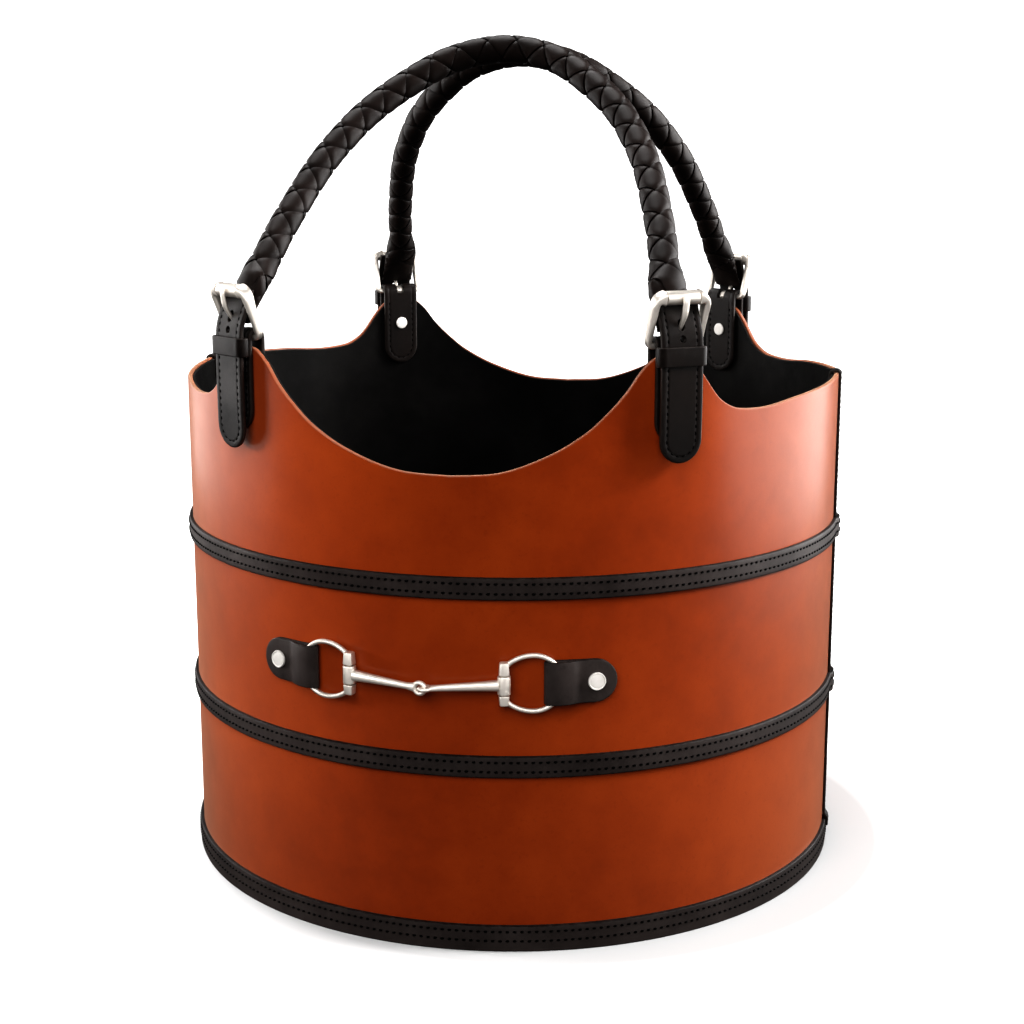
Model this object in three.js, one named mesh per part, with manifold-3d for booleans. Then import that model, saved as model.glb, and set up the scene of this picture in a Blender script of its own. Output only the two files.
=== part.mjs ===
// Magazine basket: a straight round body of saddle leather with two braided handles on buckled straps.
// Millimetres, +Z up. The origin is the centre of the underside, and the front faces -Y.
// A turn is an angle in degrees round the body from the front centre, positive towards +X.
import Module from 'manifold-3d';
import * as THREE from 'three';
import { mergeVertices } from 'three/addons/utils/BufferGeometryUtils.js';

const wasm = await Module();
wasm.setup();

// Clearances
const seatGap = 0.3; // between pieces that lie on each other
const runGap = 0.4; // round a bar that turns in an eye, sleeve or roller
const cutOverrun = 2; // how far a cutter passes the faces it cuts

// Body wall and floor
const bodyRadius = 216;
const panelThickness = 3;
const liningThickness = 1.5;
const liningStepDown = 0.8; // how far the lining's edge lies below the panel's edge
const baseCoverThickness = 2;
const baseBoardThickness = 5;
const floorLiningThickness = 1.2;
const wallStepTurn = 4;
const wallFineStepTurn = 2;

// Rim heights above the underside
const rimPeakHeight = 349.8;
const rimFrontDipHeight = 284;
const rimSideDipHeight = 315.2;
const rimFrontDipTurn = 2.3; // the front dip is cut a little to one side
// Share of the way from the dip's centre to the strap, and share of the climb from dip to peak
const frontRimShares = [
  [0, 0], [0.22, 0.035], [0.44, 0.19], [0.6, 0.374], [0.7, 0.545],
  [0.78, 0.71], [0.84, 0.87], [0.91, 0.985], [1, 1],
];
// Share of the way from the strap to the side seam, and share of the climb from side dip to peak
const sideRimShares = [
  [0, 1], [0.05, 0.93], [0.093, 0.69], [0.15, 0.283], [0.198, 0.1],
  [0.247, 0.026], [0.355, 0], [0.518, 0.072], [0.774, 0.133], [1, 0.182],
];
const fineRimFromShare = 0.65; // the rim is steep from here to the strap
const fineRimToShare = 0.3; // and from the strap to here

// Side seams
const seamTurn = 90;
const seamStripWidth = 9;
const seamStripThickness = 1.4;
const seamStripFoldLength = 14; // down the inside
const seamStripOverBand = 5; // how far its lower end lies over the base band
const seamStripStepLength = 4; // length of its step out over the band

// Bands round the body
const bandThickness = 2;
const bandWidth = 13;
const upperBandHeight = 213.4; // lower edges
const middleBandHeight = 107.6;
const baseBandWidth = 16.1;
const bandStepTurn = 5;
const bandRampLength = 5; // where a band climbs over a seam strip

// Strap stations. Above and Below count from the rim's peak.
const stationTurn = 36.5; // from the front or back centre
const strapWidth = 26.5;
const strapThickness = 2.8;
const anchorBottomBelow = 49.8; // lower ends of the outer and inner plies
const roundedEndTurns = [18, 45, 90]; // where a rounded end is cut into steps

// Buckles
const heelBarAbove = 5.7;
const buckleWireRadius = 2.2;
const buckleOuterWidth = 37;
const buckleBarSpacing = 28.4; // between the centres of the heel bar and the top bar
const buckleCornerRadius = 3.6;
const buckleLeanTurn = 17.8; // top bar tilted outward
const foldRoomHeight = 0.5; // above the wall's edge inside the anchor strap's fold
const rollerRadius = 4;
const rollerLength = 20.5;
const prongWireRadius = 1.55;
const prongEyeRadius = 3.9;
const prongEyeWidth = 5;
const prongTipPast = 3; // how far the tip passes over the roller's centre
const prongSlotWidth = 6.2;

// Keepers
const keeperBelow = 5.4; // lower edge
const keeperWidth = 11;
const keeperThickness = 1.7;
const keeperCornerRadius = 1.6;

// Billet straps: centre line, each place inset from the body's surface or outward of it
const billetTopAbove = 33.2;
const billetTopInset = 0.6;
const billetNeckAbove = 25.7;
const billetNeckOut = 1.5;
const billetHoleAbove = 17.2;
const billetHoleOut = 5.1;
const billetShoulderAbove = 10.2;
const billetShoulderOut = 7.1;
const billetHangBelow = 31.8;
const billetHangOut = 7.9;
const billetTipBelow = 60.3;
const billetTipOut = 6.9;
const prongHoleLength = 8;
const prongHoleWidth = 4.6;
const adjustHoleRadius = 2;
const adjustHoleAbove = 11.2;
const billetSteps = 15;

// Strap rivets
const rivetBelow = 18.8;
const rivetShankRadius = 2;
const rivetHeadRadius = 4.5;
const rivetHeadThickness = 1.1;

// Handles
const braidRadius = 8;
const handleLeanTurn = 45; // from upright, inward
const handleTopFromMiddle = 25.65; // between the centre line's top and the plane midway between the handles
const handleStartAbove = 35.2;
const handleStartInset = 9.3; // from the body's surface
const braidEndHalfWidth = 11.5;
const braidEndHalfThickness = 7.6;
const wedgeTipAbove = 18.7;
const wedgeTipOut = 0.2;
const wedgeTipHalfWidth = 12;
const wedgeTipHalfThickness = 0.9;
const wedgeMidAbove = 26.7;
const wedgeMidInset = 5.6;
const wedgeMidHalfThickness = 4.4;
const braidSides = 10;
const braidSteps = 32;
// Share of the handle's half span, and share of its rise
const handleShares = [
  [1, 0], [0.966, 0.103], [0.938, 0.206], [0.9, 0.307], [0.86, 0.407], [0.81, 0.508],
  [0.741, 0.608], [0.655, 0.708], [0.5, 0.83], [0.27, 0.953], [0, 1],
];
const braidNarrowShare = 0.1; // share of the rise in which the braid's end narrows to its radius

// Bit ornament
const bitCentreTurn = -1.8; // mounted a little to one side
const bitHeight = 165.2;
const hubFromCentreTurn = 12;
const hubOut = 3.95; // ring's bar outward of the ring's station
const ringOut = 3.45;
const ringWireRadius = 1.5;
const ringRadius = 16.5; // centre line of the round part
const ringCentreFromHub = 17;
const ringMeetHeight = 9.5; // where the wire meets the end blocks, from the ring's middle
const ringSteps = 16;
const ringBarRadius = 1.7;
const sleeveRadius = 3.8;
const sleeveHeight = 11.7;
const sleeveDrop = 0.75; // sleeve's middle below the ring's middle
const endBlockRadius = 3.4;
const topBlockHeight = 7.7;
const bottomBlockHeight = 6.2;
const armRootRadius = 2.9;
const armNeckRadius = 1.5;
const armSag = 2.8;
const eyeOut = 7.6;
const eyeWireRadius = 1.2;
const eyeLoopRadius = 3.2;
const eyeSteps = 12;
const eyeSides = 6;
const tabWidth = 25.6;
const tabThickness = 1.5;
const tabFoldFromHub = 22.6;
const tabEndFromHub = 65.2;
const tabRivetFromHub = 52.8;
const tabCloseFromHub = 44; // where the two plies come together
const tabCavity = 4.1;
const tabRivetShankRadius = 1.8;
const tabRivetCapRadius = 5.25;
const tabRivetCapThickness = 1.6;
const tabRivetRimWidth = 1;
const tabRivetRimRise = 0.4;

// Facets
const wireSides = 8;
const turnedSides = 12;
const foldSteps = 6;
const cornerSteps = 3;
const discStepTurn = 6;

// Derived places, as distances from the axis or above the underside
const panelInner = bodyRadius - panelThickness;
const liningOuter = panelInner - seatGap;
const liningInner = liningOuter - liningThickness;
const wallThickness = bodyRadius - liningInner;
const boardBottom = baseCoverThickness + seatGap; // and of the panels
const floorBottom = boardBottom + baseBoardThickness + seatGap; // of the linings
const bandInner = bodyRadius + seatGap;
const stripOut = seatGap + seamStripThickness / 2;
const keeperHeight = rimPeakHeight - keeperBelow;
const rivetHeight = rimPeakHeight - rivetBelow;

const halfTurn = 180;
const quarterTurn = 90;
const origin = new THREE.Vector3();
const acrossAxis = new THREE.Vector3(1, 0, 0);
const inwardAxis = new THREE.Vector3(0, 1, 0);
const upAxis = new THREE.Vector3(0, 0, 1);

const leatherTan = { color: 0x9e3e18, roughness: 0.45, metalness: 0 };
const leatherDark = { color: 0x2d2624, roughness: 0.5, metalness: 0 };
const leatherBlack = { color: 0x141110, roughness: 0.7, metalness: 0 };
const boardGrey = { color: 0x6b5a48, roughness: 0.9, metalness: 0 };
const nickel = { color: 0xd6cdc2, roughness: 0.28, metalness: 1 };

const radians = THREE.MathUtils.degToRad;
const clamp01 = (value) => THREE.MathUtils.clamp(value, 0, 1);

// Point at a turn, a distance from the axis and a height
function onBody(turn, radius, height) {
  return new THREE.Vector3(radius * Math.sin(radians(turn)), -radius * Math.cos(radians(turn)), height);
}

// Group standing on the body's surface at a turn: X runs across, Y inward and Z up
function stationGroup(turn) {
  const group = new THREE.Group();
  group.position.copy(onBody(turn, bodyRadius, 0));
  group.rotation.z = radians(turn);
  group.updateMatrixWorld(true);
  return group;
}

// Smooth value of a table of [place, value] rows
function tableAt(rows, place) {
  const last = rows.length - 2;
  let k = rows.findIndex((row, i) => i <= last && place <= rows[i + 1][0]);
  k = k < 0 ? last : k;
  const slopeAt = (i) => {
    const before = rows[Math.max(i - 1, 0)];
    const after = rows[Math.min(i + 1, rows.length - 1)];
    return (after[1] - before[1]) / (after[0] - before[0]);
  };
  const [x0, y0] = rows[k];
  const [x1, y1] = rows[k + 1];
  const span = x1 - x0;
  const t = clamp01((place - x0) / span);
  const rest = 1 - t;
  return rest * rest * (1 + 2 * t) * y0 + t * t * (1 + 2 * rest) * y1
    + t * rest * span * (rest * slopeAt(k) - t * slopeAt(k + 1));
}

// Height of the panels' rim at a turn
function rimHeight(turn) {
  const wrapped = ((turn % 360) + 540) % 360 - halfTurn;
  const back = Math.abs(wrapped) > seamTurn;
  const own = back ? Math.sign(wrapped) * halfTurn - wrapped : wrapped;
  if (Math.abs(own) >= stationTurn) {
    const share = (Math.abs(own) - stationTurn) / (seamTurn - stationTurn);
    return rimSideDipHeight + (rimPeakHeight - rimSideDipHeight) * tableAt(sideRimShares, share);
  }
  const dip = back ? 0 : rimFrontDipTurn;
  const share = (own - dip) / (Math.sign(own - dip) * stationTurn - dip || 1);
  return rimFrontDipHeight + (rimPeakHeight - rimFrontDipHeight) * tableAt(frontRimShares, share);
}

// Turns between two turns, closer together where the rim is steep
function wallTurns(from, to) {
  const fineFrom = stationTurn * fineRimFromShare;
  const fineTo = stationTurn + (seamTurn - stationTurn) * fineRimToShare;
  const turns = [from];
  let turn = from;
  while (turn < to) {
    const own = Math.abs(((turn % halfTurn) + halfTurn) % halfTurn);
    const fold = Math.min(own, halfTurn - own);
    turn += fold >= fineFrom && fold <= fineTo ? wallFineStepTurn : wallStepTurn;
    turns.push(Math.min(turn, to));
  }
  return turns;
}

// Solid through rings of points, all with as many points
function loft(rings, closed = false) {
  const count = rings[0].length;
  const positions = rings.flat().flatMap((p) => [p.x, p.y, p.z]);
  const index = [];
  const joints = closed ? rings.length : rings.length - 1;
  for (let i = 0; i < joints; i += 1) {
    const a = i * count;
    const b = ((i + 1) % rings.length) * count;
    for (let j = 0; j < count; j += 1) {
      const k = (j + 1) % count;
      index.push(a + j, a + k, b + k, a + j, b + k, b + j);
    }
  }
  if (!closed) {
    const end = (rings.length - 1) * count;
    for (let j = 1; j < count - 1; j += 1) {
      index.push(0, j + 1, j, end, end + j, end + j + 1);
    }
  }
  const geometry = new THREE.BufferGeometry();
  geometry.setAttribute('position', new THREE.Float32BufferAttribute(positions, 3));
  geometry.setIndex(index);
  return facingOut(geometry);
}

// Turns the faces over if they point inward
function facingOut(geometry) {
  const at = geometry.getAttribute('position');
  const index = Array.from(geometry.getIndex().array);
  const corner = (i) => new THREE.Vector3().fromBufferAttribute(at, index[i]);
  let volume = 0;
  for (let i = 0; i < index.length; i += 3) {
    volume += corner(i).dot(corner(i + 1).cross(corner(i + 2)));
  }
  if (volume < 0) {
    for (let i = 0; i < index.length; i += 3) {
      [index[i + 1], index[i + 2]] = [index[i + 2], index[i + 1]];
    }
    geometry.setIndex(index);
  }
  return geometry;
}

// Round or oval tube along points. A half size is { wide, thick }, thick along the face direction.
function tube(points, { halves, sides = wireSides, closed = false, faceAt }) {
  const count = points.length;
  const rings = points.map((point, i) => {
    const before = points[closed ? (i - 1 + count) % count : Math.max(i - 1, 0)];
    const after = points[closed ? (i + 1) % count : Math.min(i + 1, count - 1)];
    const along = after.clone().sub(before).normalize();
    const wideWay = new THREE.Vector3().crossVectors(faceAt(i), along).normalize();
    const thickWay = new THREE.Vector3().crossVectors(along, wideWay);
    const { wide, thick } = halves(i);
    return Array.from({ length: sides }, (_, j) => {
      const angle = (2 * Math.PI * (j + 0.5)) / sides;
      return point.clone()
        .addScaledVector(wideWay, wide * Math.cos(angle))
        .addScaledVector(thickWay, thick * Math.sin(angle));
    });
  });
  return loft(rings, closed);
}

const round = (radius) => () => ({ wide: radius, thick: radius });
const facing = (vector) => () => vector;

// Turned solid about Z from a closed outline of [radius, height] rows
function turned(outline, sides = turnedSides) {
  const rows = [...outline, outline[0]].map(([radius, height]) => new THREE.Vector2(radius, height));
  return solidGeometry(new THREE.LatheGeometry(rows, sides).rotateX(Math.PI / 2));
}

// Tube about Z between two heights
function sleeve(inner, outer, bottom, top, sides = turnedSides) {
  return turned([[inner, bottom], [outer, bottom], [outer, top], [inner, top]], sides);
}

// Cylinder about Z between two heights
function post(radius, bottom, top, sides = turnedSides) {
  return turned([[0, bottom], [radius, bottom], [radius, top], [0, top]], sides);
}

// Geometry with merged corners and its faces pointing out
function solidGeometry(geometry) {
  const bare = geometry.clone();
  bare.deleteAttribute('normal');
  bare.deleteAttribute('uv');
  const merged = mergeVertices(bare);
  const index = Array.from(merged.getIndex().array);
  const kept = [];
  for (let i = 0; i < index.length; i += 3) {
    const [a, b, c] = index.slice(i, i + 3);
    if (a !== b && b !== c && c !== a) kept.push(a, b, c);
  }
  merged.setIndex(kept);
  return facingOut(merged);
}

function toManifold(geometry) {
  const vertProperties = Float32Array.from(geometry.getAttribute('position').array);
  const triVerts = Uint32Array.from(geometry.getIndex().array);
  return new wasm.Manifold(new wasm.Mesh({ numProp: 3, vertProperties, triVerts }));
}

function fromManifold(manifold) {
  const mesh = manifold.getMesh();
  const geometry = new THREE.BufferGeometry();
  geometry.setAttribute('position', new THREE.Float32BufferAttribute(mesh.vertProperties, 3));
  geometry.setIndex(Array.from(mesh.triVerts));
  return geometry;
}

const joined = (...parts) => fromManifold(parts.map(toManifold).reduce((a, b) => a.add(b)));
const cutBy = (body, cutters) => fromManifold(
  cutters.map(toManifold).reduce((left, cutter) => left.subtract(cutter), toManifold(body)),
);

// Geometry about Z laid along another axis, and moved
function laidAlong(geometry, axis, place = origin) {
  const turn = new THREE.Quaternion().setFromUnitVectors(upAxis, axis.clone().normalize());
  return geometry.clone().applyQuaternion(turn).translate(place.x, place.y, place.z);
}

function addMesh(parent, name, geometry, finish) {
  const mesh = new THREE.Mesh(geometry, new THREE.MeshStandardMaterial(finish));
  mesh.name = name;
  mesh.geometry.computeVertexNormals();
  parent.add(mesh);
  return mesh;
}

// Points along a polyline, and its distances
function alongPolyline(points) {
  const distances = [0];
  for (let i = 1; i < points.length; i += 1) {
    distances.push(distances[i - 1] + points[i].distanceTo(points[i - 1]));
  }
  const length = distances[distances.length - 1];
  const at = (distance) => {
    let k = distances.findIndex((d, i) => i > 0 && d >= distance);
    k = k < 0 ? points.length - 1 : k;
    const share = (distance - distances[k - 1]) / (distances[k] - distances[k - 1]);
    return points[k - 1].clone().lerp(points[k], share);
  };
  return { at, distances, length };
}

// Flat strap of one width across X along points of [inward, up], with rounded ends where asked
function strap(points, { width, thickness, roundStart = false, roundEnd = false }) {
  const line = alongPolyline(points);
  const radius = width / 2;
  const endSteps = roundedEndTurns.map((turn) => radius * (1 - Math.cos(radians(turn))));
  const inner = line.distances.filter((d) => (!roundStart || d > radius)
    && (!roundEnd || d < line.length - radius));
  const stops = [
    ...(roundStart ? endSteps : []),
    ...inner,
    ...(roundEnd ? endSteps.map((d) => line.length - d).reverse() : []),
  ];
  const halfAt = (distance) => {
    const fromStart = roundStart ? distance : radius;
    const fromEnd = roundEnd ? line.length - distance : radius;
    const depth = radius - Math.min(fromStart, fromEnd, radius);
    return Math.sqrt(radius * radius - depth * depth);
  };
  const middle = stops.map((d) => line.at(d));
  const rings = middle.map((point, i) => {
    const before = middle[Math.max(i - 1, 0)];
    const after = middle[Math.min(i + 1, middle.length - 1)];
    const along = after.clone().sub(before).normalize();
    const face = new THREE.Vector2(-along.y, along.x).multiplyScalar(thickness / 2);
    const half = halfAt(stops[i]);
    return [[-1, -1], [1, -1], [1, 1], [-1, 1]].map(([side, ply]) => new THREE.Vector3(
      side * half,
      point.x + ply * face.x,
      point.y + ply * face.y,
    ));
  });
  return loft(rings);
}

// Points of an arc in the [inward, up] plane
function arcPoints(centre, radius, fromTurn, toTurn, steps) {
  return Array.from({ length: steps + 1 }, (_, i) => {
    const angle = radians(fromTurn + ((toTurn - fromTurn) * i) / steps);
    return new THREE.Vector2(centre.x + radius * Math.cos(angle), centre.y + radius * Math.sin(angle));
  });
}

// Disc about Z between two heights
function disc(radius, bottom, thickness) {
  return post(radius, bottom, bottom + thickness, 360 / discStepTurn);
}

const basket = new THREE.Group();

// Floor
addMesh(basket, 'base_cover', disc(bodyRadius, 0, baseCoverThickness), leatherDark);
addMesh(basket, 'base_board', disc(liningOuter, boardBottom, baseBoardThickness), boardGrey);
addMesh(basket, 'floor_lining', disc(liningInner - seatGap, floorBottom, floorLiningThickness), leatherBlack);

// Wall shell between two distances from the axis, from one height up to the rim less a step
function wallShell(inner, outer, turns, bottom, stepDown, closed) {
  const used = closed ? turns.slice(0, -1) : turns;
  return loft(used.map((turn) => {
    const top = rimHeight(turn) - stepDown;
    return [
      onBody(turn, inner, bottom), onBody(turn, outer, bottom),
      onBody(turn, outer, top), onBody(turn, inner, top),
    ];
  }), closed);
}

const stations = [
  ['front_left', -stationTurn],
  ['front_right', stationTurn],
  ['back_right', halfTurn - stationTurn],
  ['back_left', stationTurn - halfTurn],
];
const bitSides = [['left', -1], ['right', 1]];
const arcTurn = (length) => THREE.MathUtils.radToDeg(length / bodyRadius);

// Cutters through the wall for the strap rivets and the tab rivets
function wallHole(turn, height, radius) {
  const length = wallThickness + cutOverrun;
  const drill = laidAlong(
    post(radius, -cutOverrun, length, wireSides), inwardAxis, new THREE.Vector3(0, 0, height),
  );
  return drill.applyMatrix4(stationGroup(turn).matrixWorld);
}
const strapHoles = stations.map(([, turn]) => wallHole(turn, rivetHeight, rivetShankRadius + seatGap));
const tabRivetTurn = (side) => bitCentreTurn + side * (hubFromCentreTurn + arcTurn(tabRivetFromHub));
const tabHoles = bitSides.map(([, side]) => wallHole(
  tabRivetTurn(side), bitHeight, tabRivetShankRadius + seatGap,
));

const seamGapTurn = arcTurn(seatGap / 2);
const frontTurns = wallTurns(seamGapTurn - seamTurn, seamTurn - seamGapTurn);
const backTurns = wallTurns(seamTurn + seamGapTurn, 3 * seamTurn - seamGapTurn);
const frontWall = wallShell(panelInner, bodyRadius, frontTurns, boardBottom, 0, false);
const backWall = wallShell(panelInner, bodyRadius, backTurns, boardBottom, 0, false);
const lining = wallShell(
  liningInner, liningOuter, wallTurns(-halfTurn, halfTurn), floorBottom, liningStepDown, true,
);
addMesh(basket, 'front_panel', cutBy(frontWall, [...strapHoles, ...tabHoles]), leatherTan);
addMesh(basket, 'back_panel', cutBy(backWall, strapHoles), leatherTan);
addMesh(basket, 'wall_lining', cutBy(lining, [...strapHoles, ...tabHoles]), leatherBlack);

// Seam strips, from over the base band up the seam and over the rim
function seamStrip() {
  const top = rimHeight(seamTurn);
  const foldRadius = wallThickness / 2 + stripOut;
  const foldCentre = new THREE.Vector2(wallThickness / 2, top + seatGap);
  const overBand = seatGap + bandThickness + stripOut;
  const bandEdge = baseBandWidth + seatGap;
  return strap([
    new THREE.Vector2(-overBand, baseBandWidth - seamStripOverBand),
    new THREE.Vector2(-overBand, bandEdge),
    new THREE.Vector2(-stripOut, bandEdge + seamStripStepLength),
    ...arcPoints(foldCentre, foldRadius, halfTurn, 0, foldSteps),
    new THREE.Vector2(foldCentre.x + foldRadius, top - seamStripFoldLength),
  ], { width: seamStripWidth, thickness: seamStripThickness });
}
for (const [side, sign] of bitSides) {
  const group = stationGroup(sign * seamTurn);
  addMesh(group, `seam_strip_${side}`, seamStrip(), leatherBlack);
  basket.add(group);
}

// Upper and middle bands, which climb over the seam strips
function climbingBand(bottom) {
  const rise = seamStripThickness + seatGap;
  const flatTurn = arcTurn(seamStripWidth / 2 + seatGap);
  const rampTurn = arcTurn(bandRampLength);
  const outAt = (turn) => {
    const fromSeam = Math.abs(Math.abs(turn) - seamTurn);
    return rise * (1 - clamp01((fromSeam - flatTurn) / rampTurn));
  };
  const turns = [];
  for (let turn = -halfTurn; turn < halfTurn; turn += bandStepTurn) {
    if (Math.abs(Math.abs(turn) - seamTurn) > flatTurn + rampTurn) turns.push(turn);
  }
  for (const seam of [-seamTurn, seamTurn]) {
    for (const step of [-flatTurn - rampTurn, -flatTurn, flatTurn, flatTurn + rampTurn]) turns.push(seam + step);
  }
  turns.sort((a, b) => a - b);
  return loft(turns.map((turn) => {
    const inner = bandInner + outAt(turn);
    return [
      onBody(turn, inner, bottom), onBody(turn, inner + bandThickness, bottom),
      onBody(turn, inner + bandThickness, bottom + bandWidth), onBody(turn, inner, bottom + bandWidth),
    ];
  }), true);
}
addMesh(basket, 'upper_band', climbingBand(upperBandHeight), leatherDark);
addMesh(basket, 'middle_band', climbingBand(middleBandHeight), leatherDark);
const baseBand = sleeve(bandInner, bandInner + bandThickness, 0, baseBandWidth, 360 / bandStepTurn);
addMesh(basket, 'base_band', baseBand, leatherDark);

// Places of the buckle in its station's [inward, up] plane
const foldInner = (wallThickness + 2 * seatGap) / 2 + seatGap;
const heelBar = new THREE.Vector2(foldInner - seatGap, rimPeakHeight + heelBarAbove);
const leanWay = new THREE.Vector2(-Math.sin(radians(buckleLeanTurn)), Math.cos(radians(buckleLeanTurn)));
const topBar = heelBar.clone().addScaledVector(leanWay, buckleBarSpacing);
const inPlane = (point, across = 0) => new THREE.Vector3(across, point.x, point.y);

// Anchor strap, outer ply up the wall, over the heel bar and down inside
function anchorStrap() {
  const foldRadius = foldInner + strapThickness / 2;
  const centre = new THREE.Vector2(heelBar.x, heelBar.y - foldRoomHeight);
  const bottom = rimPeakHeight - anchorBottomBelow;
  const whole = strap([
    new THREE.Vector2(centre.x - foldRadius, bottom),
    ...arcPoints(centre, foldRadius, halfTurn, 0, foldSteps),
    new THREE.Vector2(centre.x + foldRadius, bottom),
  ], { width: strapWidth, thickness: strapThickness, roundStart: true, roundEnd: true });
  const slotBottom = heelBar.y - prongEyeRadius - seatGap;
  const slot = new THREE.BoxGeometry(prongSlotWidth, 4 * foldRadius, 4 * foldRadius);
  slot.translate(0, centre.x, slotBottom + 2 * foldRadius);
  const reach = foldRadius + strapThickness + cutOverrun;
  const drill = laidAlong(
    post(rivetShankRadius + seatGap, -reach, reach, wireSides), inwardAxis,
    new THREE.Vector3(0, centre.x, rivetHeight),
  );
  return cutBy(whole, [solidGeometry(slot), drill]);
}

// Wire frame of a buckle, a rounded rectangle in its leaning plane
function buckleFrame() {
  const halfAcross = buckleOuterWidth / 2 - buckleWireRadius;
  const halfUp = buckleBarSpacing / 2;
  const middle = heelBar.clone().add(topBar).multiplyScalar(1 / 2);
  const points = [];
  for (const [x, v, quarter] of [[1, 1, 0], [-1, 1, 1], [-1, -1, 2], [1, -1, 3]]) {
    for (let i = 0; i <= cornerSteps; i += 1) {
      const angle = radians(quarterTurn * (quarter + i / cornerSteps));
      const across = x * (halfAcross - buckleCornerRadius) + buckleCornerRadius * Math.cos(angle);
      const up = v * (halfUp - buckleCornerRadius) + buckleCornerRadius * Math.sin(angle);
      points.push(inPlane(middle.clone().addScaledVector(leanWay, up), across));
    }
  }
  const face = new THREE.Vector3(0, -leanWay.y, leanWay.x);
  return tube(points, { halves: round(buckleWireRadius), closed: true, faceAt: facing(face) });
}

function rollerTube() {
  const bore = (buckleWireRadius + runGap) / Math.cos(Math.PI / turnedSides);
  const tubeAboutZ = sleeve(bore, rollerRadius, -rollerLength / 2, rollerLength / 2);
  return laidAlong(tubeAboutZ, acrossAxis, inPlane(topBar));
}

// Prong with its eye round the heel bar and its tip bent over the roller
function prong() {
  const bore = (buckleWireRadius + runGap) / Math.cos(Math.PI / turnedSides);
  const eye = laidAlong(sleeve(bore, prongEyeRadius, -prongEyeWidth / 2, prongEyeWidth / 2), acrossAxis);
  eye.translate(0, heelBar.x, heelBar.y);
  const restOut = rollerRadius + seatGap + prongWireRadius;
  const outWay = new THREE.Vector2(-leanWay.y, leanWay.x);
  const rest = topBar.clone().addScaledVector(outWay, restOut);
  const rootWay = outWay.clone().add(leanWay).normalize();
  const shoulder = heelBar.clone().addScaledVector(rootWay, bore + prongWireRadius);
  const over = topBar.clone().addScaledVector(outWay, restOut - prongWireRadius / 2)
    .addScaledVector(leanWay, prongTipPast);
  const line = [shoulder, rest, over].map((p) => inPlane(p));
  const tongue = tube(line, {
    halves: (i) => {
      const radius = i === line.length - 1 ? prongWireRadius / 2 : prongWireRadius;
      return { wide: radius, thick: radius };
    },
    faceAt: facing(acrossAxis),
  });
  return joined(eye, tongue);
}

// Billet strap through the buckle and the keeper, with its hanging tail
const billetRows = [
  [billetTopAbove, -billetTopInset], [billetNeckAbove, billetNeckOut], [billetHoleAbove, billetHoleOut],
  [billetShoulderAbove, billetShoulderOut], [-billetHangBelow, billetHangOut], [-billetTipBelow, billetTipOut],
];
const billetLine = new THREE.SplineCurve(
  billetRows.map(([above, out]) => new THREE.Vector2(-out, rimPeakHeight + above)),
);
function billetStrap() {
  const whole = strap(billetLine.getSpacedPoints(billetSteps), {
    width: strapWidth, thickness: strapThickness, roundEnd: true,
  });
  const reach = 2 * strapThickness;
  const outWay = new THREE.Vector3(0, -leanWay.y, leanWay.x);
  const holeShape = new THREE.Shape();
  const straight = (prongHoleLength - prongHoleWidth) / 2;
  holeShape.absarc(0, straight, prongHoleWidth / 2, 0, Math.PI);
  holeShape.absarc(0, -straight, prongHoleWidth / 2, Math.PI, 2 * Math.PI);
  const slot = solidGeometry(new THREE.ExtrudeGeometry(holeShape, {
    depth: 2 * reach, bevelEnabled: false, curveSegments: cornerSteps,
  }));
  slot.translate(0, 0, -reach);
  slot.applyMatrix4(new THREE.Matrix4().makeBasis(
    acrossAxis, inPlane(leanWay), new THREE.Vector3().crossVectors(acrossAxis, inPlane(leanWay)),
  ));
  slot.translate(0, -billetHoleOut, rimPeakHeight + billetHoleAbove);
  const hole = laidAlong(
    post(adjustHoleRadius, -reach, reach, wireSides), outWay,
    new THREE.Vector3(0, -billetShoulderOut, rimPeakHeight + adjustHoleAbove),
  );
  return cutBy(whole, [slot, hole]);
}

// Keeper loop round the billet strap, on the anchor strap's outer ply
function keeperLoop() {
  const backFace = heelBar.x - foldInner - strapThickness - seatGap;
  const innerHalf = strapWidth / 2 + seatGap;
  const low = billetOutAt(keeperHeight);
  const high = billetOutAt(keeperHeight + keeperWidth);
  const room = strapThickness / 2 + seatGap;
  const nearBore = room - Math.min(low, high);
  const farBore = -room - Math.max(low, high);
  const ring = roundedBox(innerHalf + keeperThickness, backFace, farBore - keeperThickness, keeperCornerRadius);
  ring.holes.push(new THREE.Path([
    new THREE.Vector2(innerHalf, nearBore), new THREE.Vector2(-innerHalf, nearBore),
    new THREE.Vector2(-innerHalf, farBore), new THREE.Vector2(innerHalf, farBore),
  ]));
  return solidGeometry(new THREE.ExtrudeGeometry(ring, {
    depth: keeperWidth, bevelEnabled: false, curveSegments: cornerSteps,
  })).translate(0, 0, keeperHeight);
}

function billetOutAt(height) {
  const points = billetLine.getSpacedPoints(4 * billetSteps);
  return -points.reduce((best, p) => (Math.abs(p.y - height) < Math.abs(best.y - height) ? p : best)).x;
}

function roundedBox(half, near, far, r) {
  const shape = new THREE.Shape();
  shape.absarc(half - r, near - r, r, 0, Math.PI / 2);
  shape.absarc(r - half, near - r, r, Math.PI / 2, Math.PI);
  shape.absarc(r - half, far + r, r, Math.PI, (3 * Math.PI) / 2);
  shape.absarc(half - r, far + r, r, (3 * Math.PI) / 2, 2 * Math.PI);
  return shape;
}

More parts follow.
